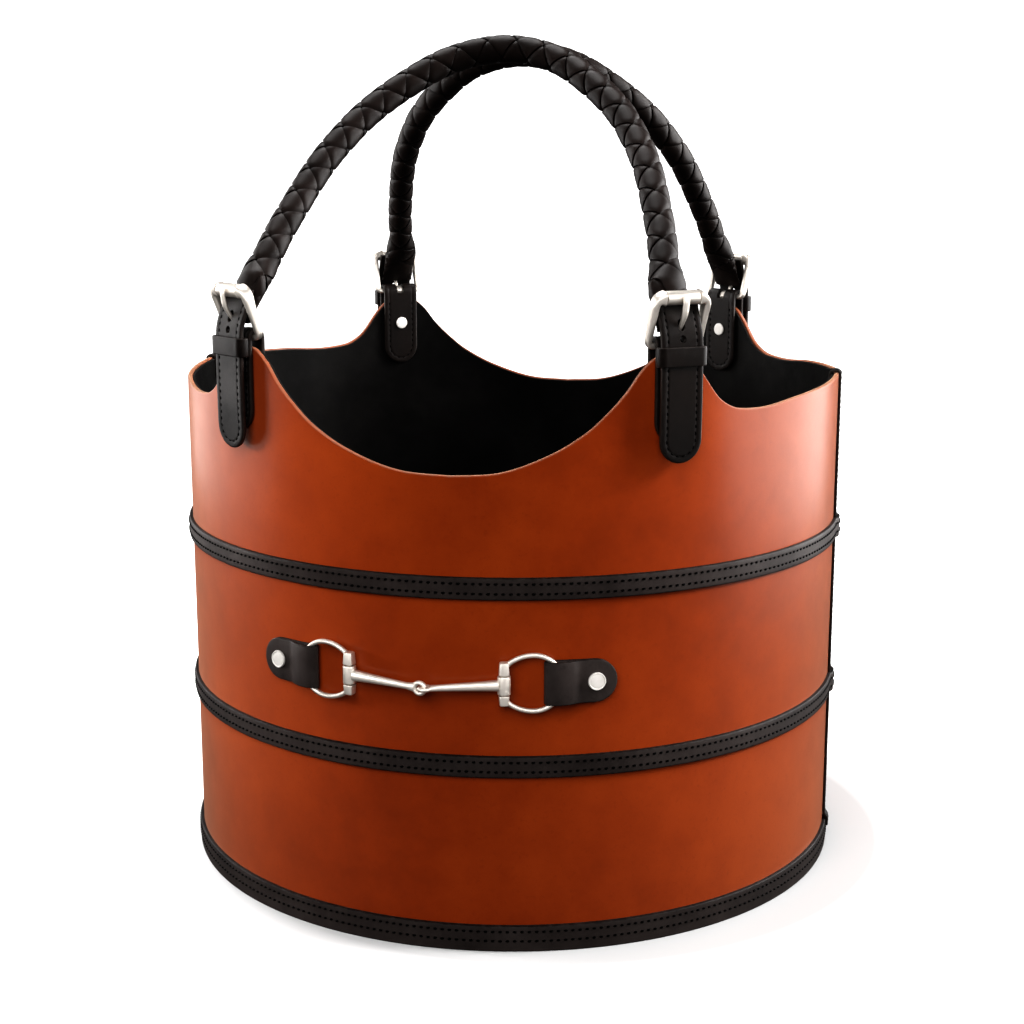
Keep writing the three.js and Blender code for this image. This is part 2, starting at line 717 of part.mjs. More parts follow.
// Rivet through both plies and the wall, along Y
function strapRivet() {
  const outer = heelBar.x - foldInner - strapThickness - seatGap;
  const inner = heelBar.x + foldInner + strapThickness + seatGap;
  const outline = [
    [0, outer - rivetHeadThickness], [rivetHeadRadius, outer - rivetHeadThickness],
    [rivetHeadRadius, outer], [rivetShankRadius, outer],
    [rivetShankRadius, inner], [rivetHeadRadius, inner],
    [rivetHeadRadius, inner + rivetHeadThickness], [0, inner + rivetHeadThickness],
  ];
  return laidAlong(turned(outline), inwardAxis, new THREE.Vector3(0, 0, rivetHeight));
}

for (const [name, turn] of stations) {
  const group = stationGroup(turn);
  addMesh(group, `${name}_anchor_strap`, anchorStrap(), leatherDark);
  addMesh(group, `${name}_strap_rivet`, strapRivet(), nickel);
  addMesh(group, `${name}_buckle_frame`, buckleFrame(), nickel);
  addMesh(group, `${name}_roller`, rollerTube(), nickel);
  addMesh(group, `${name}_prong`, prong(), nickel);
  addMesh(group, `${name}_keeper`, keeperLoop(), leatherDark);
  addMesh(group, `${name}_billet_strap`, billetStrap(), leatherDark);
  basket.add(group);
}

// Front handle: a leaning arch whose ends flatten to wedges behind the billet straps
function handleBraid() {
  const right = stationGroup(stationTurn);
  const atStation = (inward, above) => new THREE.Vector3(0, inward, rimPeakHeight + above)
    .applyMatrix4(right.matrixWorld);
  const start = atStation(handleStartInset, handleStartAbove);
  const lean = radians(handleLeanTurn);
  const leaningUp = new THREE.Vector3(0, Math.sin(lean), Math.cos(lean));
  const planeFace = new THREE.Vector3(0, -Math.cos(lean), Math.sin(lean));
  const handleRise = (Math.abs(start.y) - handleTopFromMiddle) / leaningUp.y; // along the leaning plane
  const archPoint = (side, [spanShare, riseShare]) => new THREE.Vector3(side * start.x * spanShare, start.y, start.z)
    .addScaledVector(leaningUp, handleRise * riseShare);
  const rightHalf = handleShares.map((row) => archPoint(1, row));
  const leftHalf = handleShares.slice(0, -1).map((row) => archPoint(-1, row)).reverse();
  const arch = new THREE.CatmullRomCurve3([...rightHalf, ...leftHalf], false, 'centripetal');
  const wedge = [
    { at: atStation(-wedgeTipOut, wedgeTipAbove), wide: wedgeTipHalfWidth, thick: wedgeTipHalfThickness },
    { at: atStation(wedgeMidInset, wedgeMidAbove), wide: braidEndHalfWidth, thick: wedgeMidHalfThickness },
  ];
  const stationFace = onBody(stationTurn, 1, 0);
  const archLength = arch.getLength();
  const narrowLength = handleRise * braidNarrowShare;
  const steps = arch.getSpacedPoints(braidSteps).map((at, i) => {
    const fromEnd = Math.min(i, braidSteps - i) * (archLength / braidSteps);
    const flare = 1 - THREE.MathUtils.smoothstep(fromEnd, 0, narrowLength);
    return {
      at,
      wide: THREE.MathUtils.lerp(braidRadius, braidEndHalfWidth, flare),
      thick: THREE.MathUtils.lerp(braidRadius, braidEndHalfThickness, flare),
      face: planeFace.clone().lerp(stationFace, flare),
      left: at.x < 0,
    };
  });
  const mirrored = (row) => ({ ...row, at: row.at.clone().setX(-row.at.x), left: true });
  const rows = [...wedge, ...steps, ...wedge.map(mirrored).reverse()].map((row) => {
    const face = (row.face ?? stationFace).clone();
    if (row.left) face.x *= -1;
    return { ...row, face };
  });
  return tube(rows.map((row) => row.at), {
    halves: (i) => rows[i],
    sides: braidSides,
    faceAt: (i) => rows[i].face,
  });
}
addMesh(basket, 'front_handle_braid', handleBraid(), leatherDark);
const backTurnGroup = new THREE.Group();
backTurnGroup.rotation.z = Math.PI;
addMesh(backTurnGroup, 'back_handle_braid', handleBraid(), leatherDark);
basket.add(backTurnGroup);

// Bit ornament, one side at a time. A side is -1 on the left and 1 on the right.
const hubTurn = (side) => bitCentreTurn + side * hubFromCentreTurn;
const ringTurn = (side) => hubTurn(side) + side * arcTurn(ringCentreFromHub);

// Middle of a ring's bar
function hubPoint(side) {
  const place = new THREE.Vector3(-side * ringCentreFromHub, -hubOut, bitHeight);
  return place.applyMatrix4(stationGroup(ringTurn(side)).matrixWorld);
}

// Leather tab folded round the ring: back ply on the body, front ply over it
function bitTab(side) {
  const backOut = seatGap + tabThickness / 2;
  const foldRadius = (tabCavity + tabThickness) / 2;
  const foldCentreOut = backOut + foldRadius;
  const closedOut = backOut + tabThickness + seatGap;
  const foldFrom = tabFoldFromHub + tabThickness / 2 + foldRadius;
  const half = tabWidth / 2;
  const rows = roundedEndTurns.map((turn) => ({
    from: tabEndFromHub - half * (1 - Math.cos(radians(turn))), out: backOut, half: half * Math.sin(radians(turn)),
  }));
  const front = rows.map((row) => ({ ...row, out: closedOut })).reverse();
  const cavityEnd = ringCentreFromHub + ringRadius + 2 * ringWireRadius;
  const points = [
    ...rows,
    { from: (tabCloseFromHub + foldFrom) / 2, out: backOut, half },
    ...arcPoints(new THREE.Vector2(foldFrom, foldCentreOut), foldRadius, 3 * quarterTurn, quarterTurn, foldSteps)
      .map((p) => ({ from: p.x, out: p.y, half })),
    { from: cavityEnd, out: foldCentreOut + foldRadius, half },
    { from: tabCloseFromHub, out: closedOut, half },
    ...front,
  ];
  return loft(points.map((row, i) => {
    const before = points[Math.max(i - 1, 0)];
    const after = points[Math.min(i + 1, points.length - 1)];
    const along = new THREE.Vector2(after.from - before.from, after.out - before.out).normalize();
    const face = new THREE.Vector2(-along.y, along.x).multiplyScalar(tabThickness / 2);
    return [[-1, -1], [1, -1], [1, 1], [-1, 1]].map(([edge, ply]) => {
      const from = row.from + ply * face.x;
      const out = row.out + ply * face.y;
      return onBody(hubTurn(side) + side * arcTurn(from), bodyRadius + out, bitHeight + edge * row.half);
    });
  }));
}

// Rivet with a rimmed cap outside and a plain head inside
function tabRivet() {
  const under = -(2 * (seatGap + tabThickness) + seatGap);
  const inner = wallThickness + seatGap;
  const crown = under - tabRivetCapThickness;
  const dish = tabRivetCapRadius - tabRivetRimWidth;
  const outline = [
    [0, crown + tabRivetRimRise], [dish, crown + tabRivetRimRise], [dish, crown],
    [tabRivetCapRadius - tabRivetRimRise, crown], [tabRivetCapRadius, crown + tabRivetRimRise],
    [tabRivetCapRadius, under], [tabRivetShankRadius, under],
    [tabRivetShankRadius, inner], [rivetHeadRadius, inner],
    [rivetHeadRadius, inner + rivetHeadThickness], [0, inner + rivetHeadThickness],
  ];
  return laidAlong(turned(outline), inwardAxis, new THREE.Vector3(0, 0, bitHeight));
}

// Ring in its own plane: X away from the bit's centre, Z up, the bar at X = 0
function ringSolid(side) {
  const farSteps = Math.round(ringSteps / 2);
  const nearDrop = ringRadius - ringMeetHeight;
  const nearRadius = (ringCentreFromHub * ringCentreFromHub + nearDrop * nearDrop) / (2 * nearDrop);
  const nearTurn = THREE.MathUtils.radToDeg(Math.asin(ringCentreFromHub / nearRadius));
  const nearSteps = Math.round(ringSteps / 4);
  const nearUp = arcPoints(
    new THREE.Vector2(ringCentreFromHub, ringRadius - nearRadius),
    nearRadius, quarterTurn + nearTurn, quarterTurn, nearSteps,
  );
  const farArc = arcPoints(
    new THREE.Vector2(ringCentreFromHub, 0), ringRadius, quarterTurn, -quarterTurn, farSteps,
  );
  const nearDown = nearUp.map((p) => new THREE.Vector2(p.x, -p.y)).reverse();
  const flat = [...nearUp, ...farArc.slice(1, -1), ...nearDown];
  const wire = tube(flat.map((p) => new THREE.Vector3(side * p.x, 0, p.y)), {
    halves: round(ringWireRadius), faceAt: facing(inwardAxis),
  });
  const sleeveTop = sleeveHeight / 2 - sleeveDrop;
  const sleeveBottom = -sleeveHeight / 2 - sleeveDrop;
  const topBlock = post(endBlockRadius, sleeveTop, sleeveTop + topBlockHeight);
  const bottomBlock = post(endBlockRadius, sleeveBottom - bottomBlockHeight, sleeveBottom);
  const bar = post(ringBarRadius, sleeveBottom - bottomBlockHeight / 2, sleeveTop + topBlockHeight / 2);
  const blocksOut = hubOut - ringOut;
  const barParts = [topBlock, bottomBlock, bar].map((part) => part.translate(0, -blocksOut, 0));
  return joined(wire, ...barParts);
}

// Mouthpiece arm with its sleeve and eye, between a hub and the bit's centre
function mouthpieceArm(side) {
  const hub = hubPoint(side).setZ(bitHeight - sleeveDrop);
  const outward = onBody(bitCentreTurn, 1, 0);
  const across = new THREE.Vector3().crossVectors(outward, upAxis).negate();
  const middle = onBody(bitCentreTurn, bodyRadius + eyeOut, bitHeight - sleeveDrop - armSag);
  const eyeCentre = middle.addScaledVector(across, (side * eyeLoopRadius) / 2);
  const armWay = eyeCentre.clone().sub(hub).normalize();
  const bore = (ringBarRadius + runGap) / Math.cos(Math.PI / turnedSides);
  const sleeveHalf = sleeveHeight / 2 - seatGap;
  const hubSleeve = sleeve(bore, sleeveRadius, -sleeveHalf, sleeveHalf).translate(hub.x, hub.y, hub.z);
  const armStart = hub.clone().addScaledVector(armWay, (bore + sleeveRadius) / 2);
  const armEnd = eyeCentre.clone().addScaledVector(armWay, -eyeLoopRadius);
  const arm = tube([armStart, armStart.clone().lerp(armEnd, 1 / 2), armEnd], {
    halves: (i) => {
      const radius = THREE.MathUtils.lerp(armRootRadius, armNeckRadius, i / 2);
      return { wide: radius, thick: radius };
    },
    faceAt: facing(upAxis),
  });
  const eyeFace = side < 0 ? outward : upAxis;
  const eyeSide = new THREE.Vector3().crossVectors(eyeFace, armWay).normalize();
  const eyePoints = Array.from({ length: eyeSteps }, (_, i) => {
    const angle = (2 * Math.PI * i) / eyeSteps;
    return eyeCentre.clone()
      .addScaledVector(armWay, eyeLoopRadius * Math.cos(angle))
      .addScaledVector(eyeSide, eyeLoopRadius * Math.sin(angle));
  });
  const eye = tube(eyePoints, {
    halves: round(eyeWireRadius), sides: eyeSides, closed: true, faceAt: facing(eyeFace),
  });
  return joined(hubSleeve, arm, eye);
}

for (const [name, side] of bitSides) {
  const holeGroup = stationGroup(tabRivetTurn(side));
  const drillReach = 2 * tabCavity + cutOverrun;
  const drill = laidAlong(
    post(tabRivetShankRadius + seatGap, -drillReach, cutOverrun, wireSides), inwardAxis,
    new THREE.Vector3(0, 0, bitHeight),
  ).applyMatrix4(holeGroup.matrixWorld);
  addMesh(basket, `bit_tab_${name}`, cutBy(bitTab(side), [drill]), leatherDark);
  addMesh(holeGroup, `bit_tab_rivet_${name}`, tabRivet(), nickel);
  basket.add(holeGroup);
  const ringGroup = stationGroup(ringTurn(side));
  const ringMesh = addMesh(ringGroup, `bit_ring_${name}`, ringSolid(side), nickel);
  ringMesh.position.set(-side * ringCentreFromHub, -ringOut, bitHeight);
  basket.add(ringGroup);
  addMesh(basket, `bit_arm_${name}`, mouthpieceArm(side), nickel);
}

export default basket;
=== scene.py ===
"""Looks of the round magazine basket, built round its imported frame.

Lengths are millimetres in this file's fields, and metres once a mesh is made. A turn is an angle in degrees round
the body from the front centre, positive towards +X. Out is away from the body's surface, and in is towards its axis.
"""

import logging
import math
from collections.abc import Callable, Sequence
from dataclasses import dataclass, field
from enum import Enum
from typing import ClassVar

import bmesh
import bpy
import numpy as np
from mathutils.geometry import delaunay_2d_cdt
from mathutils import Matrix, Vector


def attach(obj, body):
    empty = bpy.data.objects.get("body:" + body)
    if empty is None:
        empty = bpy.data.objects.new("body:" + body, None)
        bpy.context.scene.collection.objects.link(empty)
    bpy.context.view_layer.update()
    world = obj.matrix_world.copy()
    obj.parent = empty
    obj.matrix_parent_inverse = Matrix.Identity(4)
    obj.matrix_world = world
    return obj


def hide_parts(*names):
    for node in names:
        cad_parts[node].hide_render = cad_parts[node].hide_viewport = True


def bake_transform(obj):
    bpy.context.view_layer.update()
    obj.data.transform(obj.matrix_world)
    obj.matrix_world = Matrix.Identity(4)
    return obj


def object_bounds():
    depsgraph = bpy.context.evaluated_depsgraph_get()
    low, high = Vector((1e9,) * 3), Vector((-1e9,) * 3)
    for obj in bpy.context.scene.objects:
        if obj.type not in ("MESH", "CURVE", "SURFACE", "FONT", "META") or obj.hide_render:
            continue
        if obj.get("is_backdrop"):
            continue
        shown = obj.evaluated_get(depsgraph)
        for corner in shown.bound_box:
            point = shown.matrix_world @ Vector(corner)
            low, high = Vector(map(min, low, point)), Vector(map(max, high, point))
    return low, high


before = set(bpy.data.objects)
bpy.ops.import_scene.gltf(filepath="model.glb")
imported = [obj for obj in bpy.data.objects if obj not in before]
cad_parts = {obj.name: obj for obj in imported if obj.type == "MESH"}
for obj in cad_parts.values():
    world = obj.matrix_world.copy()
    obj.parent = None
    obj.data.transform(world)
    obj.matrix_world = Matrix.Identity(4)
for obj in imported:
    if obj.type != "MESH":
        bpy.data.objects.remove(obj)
CAD_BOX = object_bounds()

log = logging.getLogger("basket")
Array = np.ndarray
Lay = Callable[[Array, Array, Array], Array]
Socket = bpy.types.NodeSocket

MM = 0.001
WEAR = "edge_wear"
UP = np.array([0.0, 0.0, 1.0])
FULL_TURN = 2 * math.pi
CORNER_TURNS = np.radians([0, 30, 60, 90])
MERGED_WITHIN = 2e-7


# Shared places and shapes


def at_turn(turn: float | Array, radius: float | Array, height: float | Array) -> Array:
    """Places at turns, distances from the axis and heights."""
    angle = np.radians(turn)
    return np.stack(np.broadcast_arrays(radius * np.sin(angle), -radius * np.cos(angle), height), axis=-1)


def unit(vectors: Array) -> Array:
    """Vectors of length one."""
    return vectors / np.maximum(np.linalg.norm(vectors, axis=-1, keepdims=True), 1e-12)


def run_lengths(line: Array) -> Array:
    """Distance of each point along a line."""
    return np.concatenate([[0.0], np.cumsum(np.linalg.norm(np.diff(line, axis=0), axis=1))])


def along_line(line: Array, distances: Array) -> Array:
    """Points at distances along a line."""
    lengths = run_lengths(line)
    return np.stack([np.interp(distances, lengths, line[:, k]) for k in range(line.shape[1])], axis=-1)


def ways_along(line: Array, closed: bool = False) -> Array:
    """Direction of a line at each of its points."""
    return unit(np.roll(line, -1, axis=0) - np.roll(line, 1, axis=0) if closed else np.gradient(line, axis=0))


def smooth_line(knots: Array, per_span: int = 24) -> Array:
    """Centripetal Catmull-Rom curve.

    Args:
        knots: Points that the curve passes, one row each.
        per_span: Steps between two knots.

    Returns:
        Points of the curve, ends included.
    """
    rows = np.vstack([2 * knots[0] - knots[1], knots, 2 * knots[-1] - knots[-2]])
    t = np.linspace(0, 1, per_span, endpoint=False)[:, None]
    made = []
    for p0, p1, p2, p3 in zip(rows, rows[1:], rows[2:], rows[3:]):
        d0, d1, d2 = (math.sqrt(np.linalg.norm(b - a)) for a, b in ((p0, p1), (p1, p2), (p2, p3)))
        m1 = ((p1 - p0) / d0 - (p2 - p0) / (d0 + d1) + (p2 - p1) / d1) * d1
        m2 = ((p2 - p1) / d1 - (p3 - p1) / (d1 + d2) + (p3 - p2) / d2) * d1
        made.append(
            (2 * t**3 - 3 * t**2 + 1) * p1 + (t**3 - 2 * t**2 + t) * m1
            + (3 * t**2 - 2 * t**3) * p2 + (t**3 - t**2) * m2
        )
    return np.vstack([*made, knots[-1:]])


def even_line(line: Array, step: float) -> Array:
    """The line again in even steps of about one length."""
    length = run_lengths(line)[-1]
    return along_line(line, np.linspace(0, length, max(2, round(length / step) + 1)))


def even_loop(loop: Array, step: float) -> Array:
    """A closed outline again in even steps of about one length."""
    return even_line(np.vstack([loop, loop[:1]]), step)[:-1]


def near_edge(share: Array, reach: float) -> Array:
    """Nearness to an edge that lies at share one, from 0 at a reach inside it to 1."""
    return np.clip(1 - (1 - np.abs(share)) / reach, 0, 1)


def arc(centre: Sequence[float], radius: float, start: float, end: float, steps: int) -> Array:
    """Points of a flat arc, its angles in degrees."""
    angle = np.radians(np.linspace(start, end, steps + 1))
    return np.stack([centre[0] + radius * np.cos(angle), centre[1] + radius * np.sin(angle)], axis=-1)


def rounded(corners: Sequence[Sequence[float]], radii: float | Sequence[float], steps: int = 4) -> Array:
    """Closed outline with rounded corners.

    Args:
        corners: Corner points in order.
        radii: Radius of every corner, or of each.
        steps: Steps of each rounding.

    Returns:
        Points of the outline.
    """
    points = np.array(corners, float)
    count = len(points)
    sizes = [radii] * count if isinstance(radii, (int, float)) else radii
    made = []
    for i, (corner, radius) in enumerate(zip(points, sizes)):
        back, ahead = unit(points[i - 1] - corner), unit(points[(i + 1) % count] - corner)
        half = math.acos(float(np.clip(back @ ahead, -1, 1))) / 2
        reach = radius / math.tan(half) if radius else 0.0
        start, end = corner + back * reach, corner + ahead * reach
        for t in np.linspace(0, 1, steps + 1) if radius else [0.5]:
            made.append((1 - t) ** 2 * start + 2 * t * (1 - t) * corner + t**2 * end)
    return np.array(made)


def filled(loops: Sequence[Array]) -> list[list[int]]:
    """Triangles inside the first closed outline and outside the others.

    Args:
        loops: Flat outlines.

    Returns:
        Point numbers of each triangle, counted through all the outlines.
    """
    starts = np.cumsum([0, *(len(loop) for loop in loops)])
    edges = [(s + j, s + (j + 1) % len(loop)) for s, loop in zip(starts.tolist(), loops) for j in range(len(loop))]
    points = np.vstack(loops)
    corners_given = [Vector(row) for row in points.tolist()]
    inside_edges, near_enough = 1, 1e-5
    _, _, triangles, origins, *_ = delaunay_2d_cdt(corners_given, edges, [], inside_edges, near_enough)
    kept = []
    for triangle in triangles:
        corners = [origins[i][0] for i in triangle]
        x, y = points[corners].mean(axis=0)
        inside = True
        for loop in loops[1:]:
            ahead = np.roll(loop, -1, axis=0)
            crossed = (loop[:, 1] > y) != (ahead[:, 1] > y)
            slope = (ahead[:, 0] - loop[:, 0]) / np.where(crossed, ahead[:, 1] - loop[:, 1], 1)
            inside &= np.sum(crossed & (x < loop[:, 0] + slope * (y - loop[:, 1]))) % 2 == 0
        if inside:
            kept.append(corners)
    return kept


def round_profile(sides: int, power: float = 2.0) -> Array:
    """Circle of radius one, or a squarer round.

    Args:
        sides: Number of its points.
        power: Two for a circle, more for squarer.

    Returns:
        The points.
    """
    angle = FULL_TURN * np.arange(sides) / sides
    circle = np.stack([np.cos(angle), np.sin(angle)], axis=-1)
    return np.sign(circle) * np.abs(circle) ** (2 / power)


def turned(outline: Array, middle: Array, axis: Array, side: Array, sides: int, power: float = 2.0) -> Array:
    """Rings of an outline turned round an axis.

    Args:
        outline: Points of [radius, along].
        middle: Place on the axis that along counts from.
        axis: Its direction.
        side: A direction square to it.
        sides: Number of rings.
        power: Two for round, more for squarer.

    Returns:
        The rings.
    """
    third = np.cross(axis, side)
    circle = round_profile(sides, power)
    return np.array([middle + outline[:, 1:] * axis + outline[:, :1] * (x * side + y * third) for x, y in circle])


def swept(line: Array, faces: Array, halves: Array, profile: Array, closed: bool = False) -> Array:
    """Rings of a profile carried along a line.

    Args:
        line: Points of the line.
        faces: Direction of the profile's thickness, one for all points or one each.
        halves: Half width and half thickness, one pair for all points or one each.
        profile: Outline in half widths and half thicknesses.
        closed: Whether the line is a loop.

    Returns:
        Rings of points.
    """
    along = ways_along(line, closed)
    halves = np.broadcast_to(np.asarray(halves, float), (len(line), 2))
    wide = unit(np.cross(faces, along))
    thick = np.cross(along, wide)
    return (
        line[:, None]
        + wide[:, None] * (profile[None, :, 0] * halves[:, :1])[..., None]
        + thick[:, None] * (profile[None, :, 1] * halves[:, 1:])[..., None]
    )


@dataclass(frozen=True)
class Station:
    """Place on the body's surface at a turn, with x across, y inward and z up."""

    turn: float
    radius: float = 216.0

    def place(self, points: Array) -> Array:
        """The basket's places of points in the station's directions.

        Args:
            points: Points of [across, in, up].

        Returns:
            The places.
        """
        angle = math.radians(self.turn)
        ways = np.array([[math.cos(angle), math.sin(angle), 0], [-math.sin(angle), math.cos(angle), 0], [0, 0, 1]])
        return at_turn(self.turn, self.radius, 0.0) + np.asarray(points, float) @ ways

    def way(self, vector: Sequence[float]) -> Array:
        """The basket's direction of a direction at the station."""
        return self.place(np.array(vector, float)) - self.place(np.zeros(3))


class Slot(Enum):
    """The record's material slots."""

    SADDLE = "saddle_leather"
    DARK = "dark_leather"
    LINING = "black_lining"
    BOARD = "stiff_board"
    NICKEL = "satin_nickel"


class Corner(Enum):
    """The four strap stations, with their turns."""

    FRONT_LEFT = -36.5
    FRONT_RIGHT = 36.5
    BACK_RIGHT = 143.5
    BACK_LEFT = -143.5

    @property
    def label(self) -> str:
        """Start of the names of this station's pieces."""
        return self.name.lower()

    @property
    def handle(self) -> str:
        """Body of the handle that hangs here."""
        return f"{self.label.split('_')[0]}_handle"


class Side(Enum):
    """Left or right, seen from the front."""

    LEFT = -1
    RIGHT = 1

    @property
    def label(self) -> str:
        """Its name within piece names."""
        return self.name.lower()


def metal_pieces() -> bpy.types.Collection:
    """Collection of the metal pieces, made the first time."""
    return bpy.data.collections.get("metal_pieces") or bpy.data.collections.new("metal_pieces")


def linked(name: str, data: bpy.types.ID) -> bpy.types.Object:
    """New object of the scene.

    Args:
        name: Its name.
        data: Its mesh, light or camera.

    Returns:
        The object.
    """
    made = bpy.data.objects.new(name, data)
    bpy.context.scene.collection.objects.link(made)
    return made


@dataclass
class Shape:
    """Vertices, faces and edge nearness of a piece while it is being made."""

    points: list[Array] = field(default_factory=list)
    faces: list[tuple[int, ...]] = field(default_factory=list)
    wear: list[Array] = field(default_factory=list)
    count: int = 0

    def add(self, points: Array, faces: Sequence[Sequence[int]], wear: float | Array = 0.0) -> "Shape":
        """Adds vertices with their faces.

        Args:
            points: Vertices, one row each.
            faces: Vertex numbers within points.
            wear: How near a cut edge each vertex is, from 0 to 1.

        Returns:
            This shape.
        """
        self.faces += [tuple(i + self.count for i in face) for face in faces]
        self.points.append(points)
        self.wear.append(np.broadcast_to(np.asarray(wear, float), (len(points),)))
        self.count += len(points)
        return self

    def add_rings(self, rings: Array, closed: bool = False, wear: float | Array = 0.0) -> "Shape":
        """Adds the skin through rings of points.

        Args:
            rings: Rings with as many points each.
            closed: Whether the last ring joins the first. If not, both ends are filled.
            wear: How near a cut edge the points of a ring are.

        Returns:
            This shape.
        """
        n, m = rings.shape[:2]
        faces = [
            (i * m + j, i * m + (j + 1) % m, (i + 1) % n * m + (j + 1) % m, (i + 1) % n * m + j)
            for i in range(n if closed else n - 1)
            for j in range(m)
        ]
        if not closed:
            faces += [tuple(range(m)), tuple((n - 1) * m + j for j in reversed(range(m)))]
        worn = np.tile(np.broadcast_to(np.asarray(wear, float), (m,)), n)
        return self.add(rings.reshape(-1, 3), faces, worn)

    def piece(self, node: str, finish: "Finish", body: str | None, slot: Slot | None = None,
              crease: float = 38.0) -> bpy.types.Object:
        """Makes the Blender object, which stands for its CAD node unless it is thread.

        Args:
            node: CAD node that it belongs to, with which its name starts.
            finish: Its finish.
            body: CAD body that it rides on, or None to leave it unattached.
            slot: The record's slot for it, where that isn't the finish's own; not used.
            crease: Turn between faces above which their edge stays sharp.

        Returns:
            The object.
        """
        name = f"{node}_{finish.ending}"
        mesh = bpy.data.meshes.new(name)
        mesh.from_pydata((np.vstack(self.points) * MM).tolist(), [], self.faces)
        attribute = mesh.attributes.new(WEAR, "FLOAT", "POINT")
        attribute.data.foreach_set("value", np.concatenate(self.wear).astype(np.float32))
        bm = bmesh.new()
        bm.from_mesh(mesh)
        bmesh.ops.remove_doubles(bm, verts=bm.verts, dist=MERGED_WITHIN)
        bmesh.ops.recalc_face_normals(bm, faces=bm.faces)
        bm.to_mesh(mesh)
        bm.free()
        mesh.polygons.foreach_set("use_smooth", [True] * len(mesh.polygons))
        mesh.set_sharp_from_angle(angle=math.radians(crease))
        mesh.materials.append(finish.material())
        made = linked(name, mesh)
        if isinstance(finish, Nickel):
            metal_pieces().objects.link(made)
        if body:
            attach(made, body)
        if not isinstance(finish, Thread):
            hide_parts(node)
        log.info("%s: %d vertices, on %s", name, len(mesh.vertices), body or "two bodies")
        return made


# Shader node groups and finishes


class Nodes:
    """Adds shader nodes to one node tree."""

    def __init__(self, tree: bpy.types.NodeTree) -> None:
        """Keeps the tree."""
        self.tree = tree

    def add(self, kind: str, inputs: dict | None = None, **settings: object) -> bpy.types.Node:
        """Adds a node.

        Args:
            kind: Type of the node.
            inputs: Value or socket for each named or numbered input.
            **settings: Other properties of the node.

        Returns:
            The node.
        """
        made = self.tree.nodes.new(kind)
        for name, value in settings.items():
            setattr(made, name, value)
        self.fill(made, inputs or {})
        return made

    def fill(self, node: bpy.types.Node, inputs: dict) -> None:
        """Joins or sets inputs of a node.

        Args:
            node: The node.
            inputs: Value or socket for each named or numbered input.
        """
        for key, value in inputs.items():
            if isinstance(value, bpy.types.NodeSocket):
                self.tree.links.new(value, node.inputs[key])
            else:
                node.inputs[key].default_value = value

    def math(self, operation: str, *values: object) -> Socket:
        """Result of a sum on values or sockets."""
        return self.add("ShaderNodeMath", dict(enumerate(values)), operation=operation).outputs[0]

    def stretched(self, place: Socket, ways: tuple) -> Socket:
        """A place stretched by a factor along each axis."""
        return self.add("ShaderNodeVectorMath", {0: place, 1: ways}, operation="MULTIPLY").outputs[0]

    def ranged(self, value: object, low: float, high: float, to_low: float = 0, to_high: float = 1) -> Socket:
        """A value taken from one range to another, held at its ends."""
        return self.add("ShaderNodeMapRange", {0: value, 1: low, 2: high, 3: to_low, 4: to_high}).outputs[0]

    def mixed(self, share: object, first: object, second: object) -> Socket:
        """Mix of two colours."""
        return self.add("ShaderNodeMix", {0: share, 6: first, 7: second}, data_type="RGBA").outputs[2]

    def bumped(self, height: Socket, distance: float, strength: float) -> Socket:
        """Normal bent by a height."""
        return self.add("ShaderNodeBump", {"Height": height, "Distance": distance, "Strength": strength}).outputs[0]

    def noise(self, place: object, scale: float, detail: float = 4, rough: float = 0.55) -> Socket:
        """Noise value of a place."""
        inputs = {"Vector": place, "Scale": scale, "Detail": detail, "Roughness": rough}
        return self.add("ShaderNodeTexNoise", inputs).outputs["Fac"]


class Effect(Enum):
    """Shader node groups that several finishes share."""

    GRAIN = "Leather grain"
    MOTTLE = "Dye mottle"
    WEAR = "Edge wear"
    SCRATCH = "Fine scratches"


INPUTS = {
    Effect.GRAIN: {"Pores per metre": 1400.0, "Crease share": 0.3},
    Effect.MOTTLE: {"Clouds per metre": 9.0},
    Effect.WEAR: {"Nearness": 0.0, "Flecks per metre": 300.0},
    Effect.SCRATCH: {"Lines per metre": 900.0},
}
OUTPUTS = {
    Effect.GRAIN: ("Height", "Pores"),
    Effect.MOTTLE: ("Cloud", "Specks"),
    Effect.WEAR: ("Mask",),
    Effect.SCRATCH: ("Height", "Haze"),
}


def effect_tree(effect: Effect) -> bpy.types.NodeTree:
    """The node group of an effect, made the first time.

    Args:
        effect: Which one.

    Returns:
        The group.
    """
    if effect.value in bpy.data.node_groups:
        return bpy.data.node_groups[effect.value]
    tree = bpy.data.node_groups.new(effect.value, "ShaderNodeTree")
    tree.interface.new_socket("Place", in_out="INPUT", socket_type="NodeSocketVector")
    for name, value in INPUTS[effect].items():
        tree.interface.new_socket(name, in_out="INPUT", socket_type="NodeSocketFloat").default_value = value
    for name in OUTPUTS[effect]:
        tree.interface.new_socket(name, in_out="OUTPUT", socket_type="NodeSocketFloat")
    nodes = Nodes(tree)
    given = nodes.add("NodeGroupInput").outputs
    result = MAKERS[effect](nodes, given)
    nodes.add("NodeGroupOutput", dict(zip(OUTPUTS[effect], result)))
    return tree


